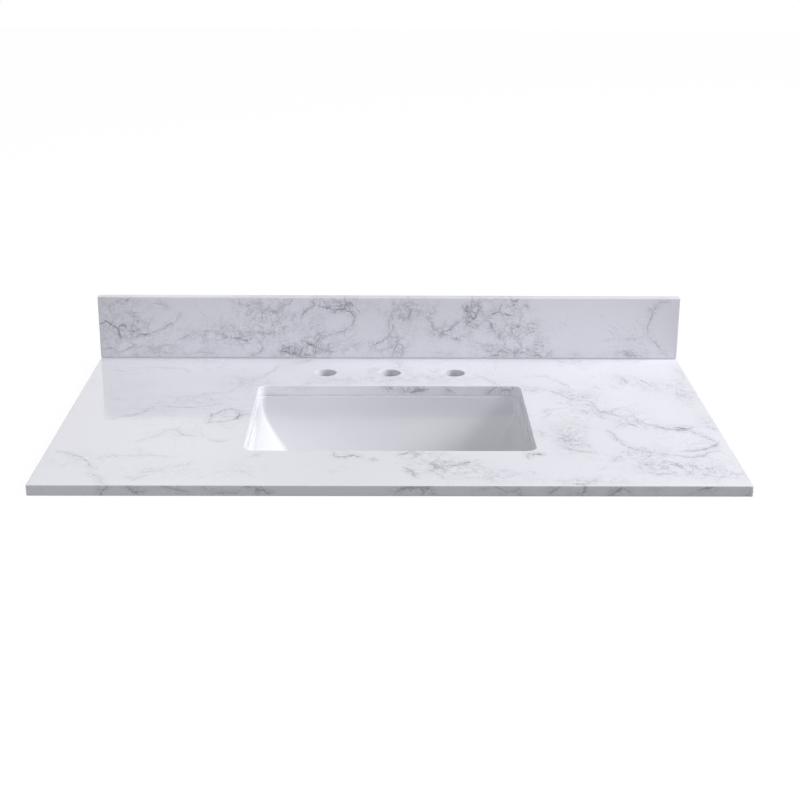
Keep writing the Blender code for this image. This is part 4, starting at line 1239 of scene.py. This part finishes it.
def basin_outside():
    """Rings from the flange's top outwards, under it, down the outside and in to the boss and the bore."""
    rings = [flange_ring(*round_over(FLANGE_TOP_ROUND, turn)) for turn in quarter_turns(3)]
    for turn in quarter_turns(5):
        rise, back = round_over(FLANGE_ROUND, turn)
        rings.append(flange_ring(back, FLANGE_THICKNESS - rise))
    cove_depth = FLANGE_THICKNESS + FLANGE_COVE
    wall_x = wall_inset(cove_depth, SIDE_LEAN, BASIN_WALL)
    wall_y = wall_inset(cove_depth, END_LEAN, BASIN_WALL)
    for turn in quarter_turns(6)[:-1]:
        out, drop = round_over(FLANGE_COVE, turn)
        corner = MOUTH_CORNER_RADIUS + BASIN_WALL + out
        rings.append(bowl_ring(wall_x - out, wall_y - out, FLANGE_THICKNESS + drop, corner))
    depths = wall_depths(BASIN_WALL, cove_depth, wall_steps=16, foot_steps=12)
    rings += [wall_ring(depth, BASIN_WALL) for depth in depths]
    edge = rings[-1]
    under = DRAIN_DEPTH + BASIN_WALL
    rings.append(to_circle(edge, BOSS_RADIUS + BOSS_FILLET, under, 0.5))
    for turn in quarter_turns(4):
        out, drop = round_over(BOSS_FILLET, turn)
        rings.append(to_circle(edge, BOSS_RADIUS + out, under + drop))
    for turn in quarter_turns(4):
        rise, back = round_over(BOSS_ROUND, turn)
        rings.append(to_circle(edge, BOSS_RADIUS - back, BOSS_DEPTH - rise))
    rings.append(to_circle(edge, BORE_RADIUS + BORE_EASING, BOSS_DEPTH))
    rings.append(to_circle(edge, BORE_RADIUS, BOSS_DEPTH - BORE_EASING))
    return rings


def duct_path(first_depth, last_reach):
    """Points and outward directions down the front wall and under the floor."""
    foot_start = BOWL_DEPTH - FOOT_RADIUS * (1 - math.sin(END_LEAN))
    foot_end = math.pi / 2 - FLOOR_TILT
    path = []
    for step in range(DUCT_WALL_STEPS):
        depth = first_depth + (foot_start - first_depth) * step / DUCT_WALL_STEPS
        path.append((wall_inset(depth, END_LEAN), depth, END_LEAN))
    for step in range(DUCT_FOOT_STEPS + 1):
        turn = END_LEAN + (foot_end - END_LEAN) * step / DUCT_FOOT_STEPS
        depth = BOWL_DEPTH - FOOT_RADIUS * (1 - math.sin(turn))
        path.append((wall_inset(depth, END_LEAN), depth, turn))
    edge_inset, edge_depth, _ = path[-1]
    for step in range(1, DUCT_FLOOR_STEPS + 1):
        share = step / DUCT_FLOOR_STEPS
        inset = edge_inset + (MOUTH_HALF_Y - last_reach - edge_inset) * share
        path.append((inset, edge_depth + (DRAIN_DEPTH - edge_depth) * share, math.pi / 2))
    for inset, depth, turn in path:
        place = Vector((0.0, BASIN_Y - MOUTH_HALF_Y + inset, RIM_LEVEL - depth))
        yield place, Vector((0.0, -math.cos(turn), -math.sin(turn)))


def swept_duct(name, path, half_width, nearest, farthest, radius):
    """A flat tube along the path, from a nearest to a farthest distance outside the bowl's inner face."""
    outline = rounded_rectangle(half_width, (farthest - nearest) / 2, radius)
    rings = []
    for place, outwards in path:
        centre = place + outwards * (nearest + farthest) / 2
        rings.append([centre + Vector((point.x, 0.0, 0.0)) + outwards * point.y for point in outline])
    return capped_rings(name, rings)


def capped_rings(name, rings):
    """Rings extruded one from the next, with a face over each end."""
    solid = extruded_rings(name, rings)
    start_edit(solid, "EDGE")
    choose(solid, lambda edge: edge.is_boundary, "edges")
    bpy.ops.mesh.edge_face_add()
    bpy.ops.mesh.select_all(action="DESELECT")
    bpy.ops.mesh.select_non_manifold()
    bpy.ops.mesh.fill_holes(sides=0)
    bpy.ops.mesh.select_all(action="SELECT")
    bpy.ops.mesh.normals_make_consistent(inside=False)
    bpy.ops.object.mode_set(mode="OBJECT")
    return solid


def make_inlet():
    """A slot from the duct through the bowl's front wall, where it flares."""
    outline = rounded_rectangle(INLET_HALF_X, INLET_HALF_Z, INLET_HALF_Z * NEARLY_ROUND)
    wall = BASIN_Y - MOUTH_HALF_Y + wall_inset(INLET_DEPTH, END_LEAN)
    level = RIM_LEVEL - INLET_DEPTH
    rings = []
    for y, grow in (
        (wall - BASIN_WALL - DUCT_GAP / 2, 1.0),
        (wall - INLET_FLARE_DEPTH, 1.0),
        (wall + INLET_CLEARANCE, INLET_FLARE),
    ):
        rings.append([Vector((point.x * grow, y, level + point.y * grow)) for point in outline])
    return capped_rings("inlet", rings)


class VANITY_OT_basin(bpy.types.Operator):
    """Makes the glazed basin with its lip, flange, drain boss and overflow"""

    bl_idname = "vanity.basin"
    bl_label = "Basin"

    def execute(self, context):
        settings = context.scene.vanity_basin
        rings = bowl_inside() + basin_outside()
        basin = extruded_rings("glazed_basin", rings + [rings[0]])
        path = duct_path(FLANGE_THICKNESS / 2, BOSS_RADIUS / 2)
        nearest, farthest = BASIN_WALL - HOUSING_BITE, BASIN_WALL + DUCT_GAP + HOUSING_WALL
        half_width = DUCT_HALF_X + HOUSING_WALL
        housing = swept_duct("housing", path, half_width, nearest, farthest, HOUSING_WALL)
        combine(basin, housing, "UNION")
        path = duct_path(INLET_DEPTH - DUCT_HEADROOM, BORE_RADIUS / 2)
        nearest, farthest = BASIN_WALL, BASIN_WALL + DUCT_GAP
        duct = swept_duct("duct", path, DUCT_HALF_X, nearest, farthest, DUCT_GAP / 2 * NEARLY_ROUND)
        combine(basin, duct, "DIFFERENCE")
        combine(basin, make_inlet(), "DIFFERENCE")
        finish_piece(basin, glaze_material(settings), "ceramic", "basin")
        return {"FINISHED"}


class VANITY_OT_sealant(bpy.types.Operator):
    """Makes the silicone beads under the backsplash and over the basin's rim"""

    bl_idname = "vanity.sealant"
    bl_label = "Sealant"

    def execute(self, context):
        settings = context.scene.vanity_basin
        silicone = sealant_material(settings)
        low = Vector((TOP_LOW.x, SPLASH_LOW.y, TOP_HIGH.z)) + SPLASH_BEAD_SETBACK
        high = Vector((TOP_HIGH.x, SPLASH_HIGH.y, SPLASH_LOW.z)) - SPLASH_BEAD_SETBACK
        strip = new_block("backsplash_bead", low, high)
        bevel_edges(strip, lambda edge: is_level(edge) or is_upright(edge), SPLASH_BEAD_ROUND, 3)
        finish_piece(strip, silicone, "silicone", "backsplash_sealant")

        edges = {"outer": -FLANGE_WIDTH + FLANGE_BEAD_SETBACK, "inner": -settings.bead_setback}
        rings = []
        for edge, further_in, share in BEAD_SECTION:
            inset = edges[edge] + further_in
            corner = FLANGE_CORNER_RADIUS if edge == "outer" else MOUTH_CORNER_RADIUS - inset
            rings.append(bowl_ring(inset, inset, RIM_LEVEL * (1 - share), corner))
        bead = extruded_rings("basin_bead", rings + [rings[0]])
        finish_piece(bead, silicone, "silicone", "basin_sealant")
        return {"FINISHED"}


# Fixings


def stud_axis(place):
    low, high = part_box(f"stud_{place}")
    return (low.x + high.x) / 2, (low.y + high.y) / 2


def new_line(name, points):
    """An open row of edges: a circle opened between its last point and its first."""
    show_only(None)
    bpy.ops.mesh.primitive_circle_add(vertices=len(points))
    line = named(name)
    for vert, point in zip(line.data.vertices, points):
        vert.co = point
    ends = {0, len(points) - 1}
    start_edit(line, "EDGE")
    choose(line, lambda edge: {vert.index for vert in edge.verts} == ends, "edges")
    bpy.ops.mesh.delete(type="EDGE")
    bpy.ops.object.mode_set(mode="OBJECT")
    return line


def make_stud(settings):
    """One tooth of the thread turned up past both ends, cut to length, and drawn in to a chamfer."""
    low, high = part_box("stud_front_left")
    crest = (high.x - low.x) / 2
    radii = {"root": crest - settings.thread_depth, "crest": crest}
    pitch = settings.thread_pitch
    start = low.z - SPARE_TURNS * pitch
    tooth = [(radii[place], 0.0, start + pitch * share) for place, share in STUD_TOOTH]
    stud = new_line("threaded_stud", tooth)
    turns = math.ceil((high.z - low.z) / pitch) + 2 * SPARE_TURNS
    apply_modifier(
        stud, "SCREW", screw_offset=pitch, iterations=turns, steps=THREAD_STEPS, render_steps=THREAD_STEPS
    )
    start_edit(stud, "VERT")
    bpy.ops.mesh.select_all(action="SELECT")
    bpy.ops.mesh.remove_doubles(threshold=SAME_POINT)
    for level, side in ((low.z, -1), (high.z, 1)):
        place, normal = (0, 0, level), (0, 0, side)
        bpy.ops.mesh.select_all(action="SELECT")
        bpy.ops.mesh.bisect(plane_co=place, plane_no=normal, clear_outer=True, threshold=SAME_POINT)
    choose(stud, lambda edge: edge.is_boundary, "edges")
    bpy.ops.mesh.fill_holes(sides=0)
    bpy.ops.mesh.select_all(action="SELECT")
    bpy.ops.mesh.normals_make_consistent(inside=False)
    bpy.ops.object.mode_set(mode="OBJECT")
    for vert in stud.data.vertices:
        reach = math.hypot(vert.co.x, vert.co.y)
        from_end = min(vert.co.z - low.z, high.z - vert.co.z)
        most = crest - STUD_CHAMFER + from_end
        if reach > most:
            vert.co.xy *= most / reach
    return stud


def is_bore_rim(edge):
    off_bore = max(abs(math.hypot(vert.co.x, vert.co.y) - BOLT_HOLE_RADIUS) for vert in edge.verts)
    return off_bore < BORE_RIM_REACH and is_level_corner(edge)


def bore_through(piece, low, high):
    """Takes the bolt's hole out of the middle of a fixing."""
    bore = new_rod("bore", (0, 0), BOLT_HOLE_RADIUS, low.z - OVERRUN, high.z + OVERRUN, BORE_SIDES)
    combine(piece, bore, "DIFFERENCE")


def make_wing_nut(settings):
    """A tapered hub with two round-edged wings, bored for the stud."""
    low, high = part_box("wing_nut_front_left")
    reach, rise = (high.x - low.x) / 2, high.z - low.z
    foot = high.z - NUT_HEIGHT
    nut = new_rod("winged_nut", (0, 0), NUT_HUB_RADIUS, foot, high.z, BORE_SIDES)
    start_edit(nut, "FACE")
    choose(nut, lambda face: face.normal.z < -FACING, "faces")
    taper = NUT_NECK_RADIUS / NUT_HUB_RADIUS
    bpy.ops.transform.resize(value=(taper, taper, 1), center_override=(0, 0, high.z))
    bpy.ops.object.mode_set(mode="OBJECT")
    bevel_edges(nut, is_level_corner, NUT_ROUND, 3)
    ear = rise * EAR_SHARE
    inside = NUT_NECK_RADIUS * WING_ROOT_SHARE
    shoulder = high.z - NUT_HEIGHT * SHOULDER_SHARE
    side_view = [(inside, shoulder), (NUT_HUB_RADIUS, shoulder)]
    for step in range(EAR_STEPS + 1):
        turn = math.radians(EAR_START - EAR_SWEEP * step / EAR_STEPS)
        side_view.append((reach - ear + ear * math.cos(turn), low.z + ear + ear * math.sin(turn)))
    side_view.append((inside, foot + NUT_ROUND))
    for side in (1, -1):
        faces = (-WING_THICKNESS / 2, WING_THICKNESS / 2)
        wing = capped_rings("wing", [[Vector((x * side, y, z)) for x, z in side_view] for y in faces])
        bevel_edges(wing, is_corner, WING_ROUND, 4)
        combine(nut, wing, "UNION")
    bore_through(nut, low, high)
    bevel_edges(nut, is_bore_rim, settings.softening, 2)
    return nut


def make_washer(settings):
    low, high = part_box("washer_front_left")
    washer = new_rod("round_washer", (0, 0), (high.x - low.x) / 2, low.z, high.z, SEAT_SIDES)
    bore_through(washer, low, high)
    bevel_edges(washer, is_corner, settings.softening * WASHER_EASING_SHARE, 2)
    return washer


def make_clip(settings):
    """A strip of plate bent up at its heel, with round corners at its toe and a slot for the stud."""
    low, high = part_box("clip_front_left")
    axis_x, _ = stud_axis("front_left")
    toe, heel, half_width = high.x - axis_x, low.x - axis_x, (high.y - low.y) / 2
    outer = CLIP_BEND_RADIUS + CLIP_STRIP
    bend_x, bend_z = heel + outer, low.z + outer

    def bend_at(radius, turn):
        return bend_x - radius * math.sin(turn), bend_z - radius * math.cos(turn)

    turns = quarter_turns(10)
    side_view = [(toe, low.z + CLIP_STRIP), (toe, low.z)]
    side_view += [bend_at(outer, turn) for turn in turns]
    side_view += [(heel, high.z), (heel + CLIP_STRIP, high.z)]
    side_view += [bend_at(CLIP_BEND_RADIUS, turn) for turn in reversed(turns)]
    faces = (-half_width, half_width)
    clip = capped_rings("bent_clip", [[Vector((x, y, z)) for x, z in side_view] for y in faces])
    at_toe = toe - SAME_POINT
    bevel_edges(clip, lambda edge: is_upright(edge) and edge.verts[0].co.x > at_toe, CLIP_TOE_ROUND, 6)
    outline = rounded_rectangle(CLIP_SLOT_HALF, BOLT_HOLE_RADIUS, BOLT_HOLE_RADIUS * NEARLY_ROUND)
    ends = (low.z + CLIP_STRIP + SLOT_OVERRUN, low.z - SLOT_OVERRUN)
    slot = capped_rings("slot", [[Vector((point.x, point.y, z)) for point in outline] for z in ends])
    combine(clip, slot, "DIFFERENCE")
    bevel_edges(clip, is_corner, settings.softening, 2)
    return clip


def make_anchor(settings):
    """A threaded insert: two knurled bands with a groove between, over a plain collar."""
    low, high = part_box("anchor_front_left")
    outer = (high.x - low.x) / 2
    height = high.z - low.z
    plain = (0.0, 0.0, 0.0, 0.0)
    knurl = (0.0, 0.0, -KNURL_DEPTH, -KNURL_DEPTH)
    mouth = BOLT_HOLE_RADIUS + KNURL_DEPTH
    profile = (
        (outer - ANCHOR_CHAMFER, 1.00, plain),
        (outer - KNURL_DEPTH, 0.95, plain),
        (outer, 0.93, knurl),
        (outer, 0.58, knurl),
        (outer - GROOVE_DEPTH, 0.56, plain),
        (outer - GROOVE_DEPTH, 0.46, plain),
        (outer, 0.44, knurl),
        (outer, 0.16, knurl),
        (outer - KNURL_DEPTH, 0.14, plain),
        (outer, 0.12, plain),
        (outer, 0.00, plain),
        (mouth, 0.00, plain),
        (BOLT_HOLE_RADIUS, 0.04, plain),
        (BOLT_HOLE_RADIUS, 0.96, plain),
        (mouth, 1.00, plain),
    )
    sides = settings.knurls * len(plain)
    rings = []
    for radius, share, dents in profile:
        ring = []
        for index in range(sides):
            turn = math.pi * 2 * (index - 0.5) / sides
            reach = radius + dents[index % len(dents)]
            ring.append(Vector((reach * math.cos(turn), reach * math.sin(turn), low.z + height * share)))
        rings.append(ring)
    return extruded_rings("knurled_anchor", rings + [rings[0]])


def place_copies(model, node, material, slot):
    """Four copies of a fixing, each with its own mesh, turned so that the clips' toes point at the basin."""
    for place in CLIP_PLACES:
        show_only(model)
        bpy.ops.object.duplicate()
        copy = bpy.context.active_object
        copy.location = (*stud_axis(place), 0.0)
        copy.rotation_euler.z = 0.0 if copy.location.x < 0 else math.pi
        named(f"{model.name}_{place}")
        finish_piece(copy, material, slot, f"{node}_{place}")
    bpy.data.objects.remove(model)


class VANITY_OT_fixings(bpy.types.Operator):
    """Makes the anchors, studs, clips, washers and wing nuts that hold the basin up"""

    bl_idname = "vanity.fixings"
    bl_label = "Fixings"

    def execute(self, context):
        settings = context.scene.vanity_fixings
        zinc = zinc_material(settings)
        place_copies(make_anchor(settings), "anchor", brass_material(settings), "brass")
        place_copies(make_stud(settings), "stud", zinc, "zinc_steel")
        place_copies(make_clip(settings), "clip", zinc, "zinc_steel")
        place_copies(make_washer(settings), "washer", zinc, "zinc_steel")
        place_copies(make_wing_nut(settings), "wing_nut", zinc, "zinc_steel")
        return {"FINISHED"}


# Studio


def add_lamp(name, place, size, power, colour):
    """A soft lamp that faces the bowl's mouth, and that no polish mirrors."""
    lamp = bpy.data.lights.new(name, "AREA")
    lamp.shape = "RECTANGLE"
    lamp.size, lamp.size_y = size
    lamp.energy = power
    lamp.color = colour
    holder = bpy.data.objects.new(name, lamp)
    bpy.context.scene.collection.objects.link(holder)
    holder.location = place
    ahead = Vector((0.0, BASIN_Y, 0.0)) - Vector(place)
    holder.rotation_euler = ahead.to_track_quat("-Z", "Y").to_euler()
    holder.visible_glossy = False


def add_dim_card():
    """A grey card behind and to the right, seen only in the polish, where the real studio was dimmer."""
    show_only(None)
    bpy.ops.mesh.primitive_plane_add(size=1, location=CARD_PLACE, rotation=(math.pi / 2, 0, 0))
    bpy.context.active_object.scale = CARD_SIZE
    card = named("dim_card")
    material, tree, _ = new_material("dim_card")
    across = put(tree, "ShaderNodeSeparateXYZ", {"Vector": object_coords(tree)}).outputs["X"]
    strength = ease_between(tree, across, CARD_WHITE_TO, CARD_DIM_FROM, 1.0, CARD_LEVEL)
    glow = put(tree, "ShaderNodeEmission", {"Color": CARD_COLOUR, "Strength": strength})
    tree.links.new(glow.outputs[0], tree.nodes["Material Output"].inputs["Surface"])
    card.data.materials.append(material)
    card.visible_camera = card.visible_diffuse = card.visible_shadow = card.visible_transmission = False


def seen_ray(tree):
    """1 for a camera, glossy or transmission ray, so that the eye, gloss and glass all see the same white."""
    path = put(tree, "ShaderNodeLightPath")
    seen = calc(tree, "MAXIMUM", path.outputs["Is Camera Ray"], path.outputs["Is Glossy Ray"])
    return calc(tree, "MAXIMUM", seen, path.outputs["Is Transmission Ray"])


def floor_material():
    """A pale floor. The eye sees it nearly white, with the object's shadow left on it."""
    material, tree, shader = new_material("pale_floor")
    seen = seen_ray(tree)
    coords = object_coords(tree)
    share = ease_between(tree, noise_of(tree, coords, 1.3, 2.0), 0.3, 0.7)
    pale = colour_mix(tree, share, (0.86, 0.86, 0.87, 1), (0.88, 0.88, 0.89, 1))
    tree.links.new(colour_mix(tree, seen, (0.15, 0.15, 0.16, 1), pale), shader.inputs["Base Color"])
    shader.inputs["Roughness"].default_value = 0.9
    shader.inputs["Specular IOR Level"].default_value = 0.0
    glow = put(tree, "ShaderNodeEmission", {"Color": (1, 1, 1, 1), "Strength": 1.02})
    share = calc(tree, "MULTIPLY", seen, 0.95)
    both = put(tree, "ShaderNodeMixShader", {0: share, 1: shader.outputs[0], 2: glow.outputs[0]})
    tree.links.new(both.outputs[0], tree.nodes["Material Output"].inputs["Surface"])
    return material


def white_world(sky):
    world = bpy.data.worlds.new("white_studio")
    world.use_nodes = True
    tree = world.node_tree
    background = tree.nodes["Background"]
    background.inputs["Color"].default_value = (1.0, 1.0, 1.0, 1)
    strength = put(tree, "ShaderNodeMapRange", {"Value": seen_ray(tree), "To Min": sky, "To Max": 1.0})
    tree.links.new(strength.outputs[0], background.inputs["Strength"])
    bpy.context.scene.world = world


def add_camera(lens):
    """The photograph's viewpoint: well above the slab and almost square to it."""
    turn = Matrix.Rotation(CAMERA_YAW, 3, "Z")
    ahead = turn @ Vector((0.0, math.cos(CAMERA_PITCH), -math.sin(CAMERA_PITCH)))
    up = turn @ Vector((0.0, math.sin(CAMERA_PITCH), math.cos(CAMERA_PITCH)))
    right = turn @ Vector((1.0, 0.0, 0.0))
    tilted_right = right * math.cos(CAMERA_ROLL) + up * math.sin(CAMERA_ROLL)
    tilted_up = up * math.cos(CAMERA_ROLL) - right * math.sin(CAMERA_ROLL)
    data = bpy.data.cameras.new("photo_view")
    data.lens = lens
    data.sensor_width = SENSOR_WIDTH
    data.clip_start = NEAREST_SEEN
    camera = bpy.data.objects.new("photo_view", data)
    bpy.context.scene.collection.objects.link(camera)
    columns = Matrix((tilted_right, tilted_up, -ahead)).transposed()
    camera.matrix_world = Matrix.Translation(CAMERA_PLACE) @ columns.to_4x4()
    bpy.context.scene.camera = camera


class VANITY_OT_studio(bpy.types.Operator):
    """Makes the floor, the soft lamps, the white world and the camera"""

    bl_idname = "vanity.studio"
    bl_label = "Studio"

    def execute(self, context):
        settings = context.scene.vanity_studio
        show_only(None)
        level = TOP_LOW.z - settings.floor_gap
        bpy.ops.mesh.primitive_plane_add(size=FLOOR_SIZE, location=(0, 0, level))
        floor = named("studio_floor")
        start_edit(floor, "FACE")
        for x, y in PIT:
            for place, normal in (((x, 0, 0), (1, 0, 0)), ((0, y, 0), (0, 1, 0))):
                bpy.ops.mesh.select_all(action="SELECT")
                bpy.ops.mesh.bisect(plane_co=place, plane_no=normal)
        (left, front), (right, rear) = PIT

        def over_pit(face):
            middle = face.calc_center_median()
            return left < middle.x < right and front < middle.y < rear

        choose(floor, over_pit, "faces")
        bpy.ops.mesh.extrude_region_move(TRANSFORM_OT_translate={"value": (0, 0, -settings.pit_depth)})
        bpy.ops.object.mode_set(mode="OBJECT")
        floor.data.materials.append(floor_material())
        add_lamp("key", KEY_PLACE, KEY_SIZE, settings.key_power, KEY_COLOUR)
        add_lamp("fill", FILL_PLACE, FILL_SIZE, settings.fill_power, FILL_COLOUR)
        add_dim_card()
        white_world(settings.sky)
        add_camera(settings.lens)
        context.scene.view_settings.view_transform = "Standard"
        return {"FINISHED"}


class VANITY_PT_panel(bpy.types.Panel):
    """Lists the steps that make the vanity top, with their sizes and colours"""

    bl_idname = "VANITY_PT_panel"
    bl_label = "Vanity Top"
    bl_space_type = "VIEW_3D"
    bl_region_type = "UI"
    bl_category = "Vanity Top"

    def draw(self, context):
        scene = context.scene
        for group in (scene.vanity_stone, scene.vanity_basin, scene.vanity_fixings, scene.vanity_studio):
            box = self.layout.box()
            for name in group.__annotations__:
                box.prop(group, name)
        for step in STEPS:
            self.layout.operator(step.bl_idname)


STEPS = (
    VANITY_OT_slab,
    VANITY_OT_backsplash,
    VANITY_OT_basin,
    VANITY_OT_sealant,
    VANITY_OT_fixings,
    VANITY_OT_studio,
)
GROUPS = (StoneSettings, BasinSettings, FixingSettings, StudioSettings)


def register():
    for made in (*GROUPS, *STEPS, VANITY_PT_panel):
        bpy.utils.register_class(made)
    bpy.types.Scene.vanity_stone = bpy.props.PointerProperty(type=StoneSettings)
    bpy.types.Scene.vanity_basin = bpy.props.PointerProperty(type=BasinSettings)
    bpy.types.Scene.vanity_fixings = bpy.props.PointerProperty(type=FixingSettings)
    bpy.types.Scene.vanity_studio = bpy.props.PointerProperty(type=StudioSettings)


def unregister():
    del bpy.types.Scene.vanity_studio
    del bpy.types.Scene.vanity_fixings
    del bpy.types.Scene.vanity_basin
    del bpy.types.Scene.vanity_stone
    for made in (VANITY_PT_panel, *reversed(STEPS), *reversed(GROUPS)):
        bpy.utils.unregister_class(made)


def main():
    register()
    for step in STEPS:
        category, name = step.bl_idname.split(".")
        getattr(getattr(bpy.ops, category), name)()


if __name__ == "__main__":
    main()
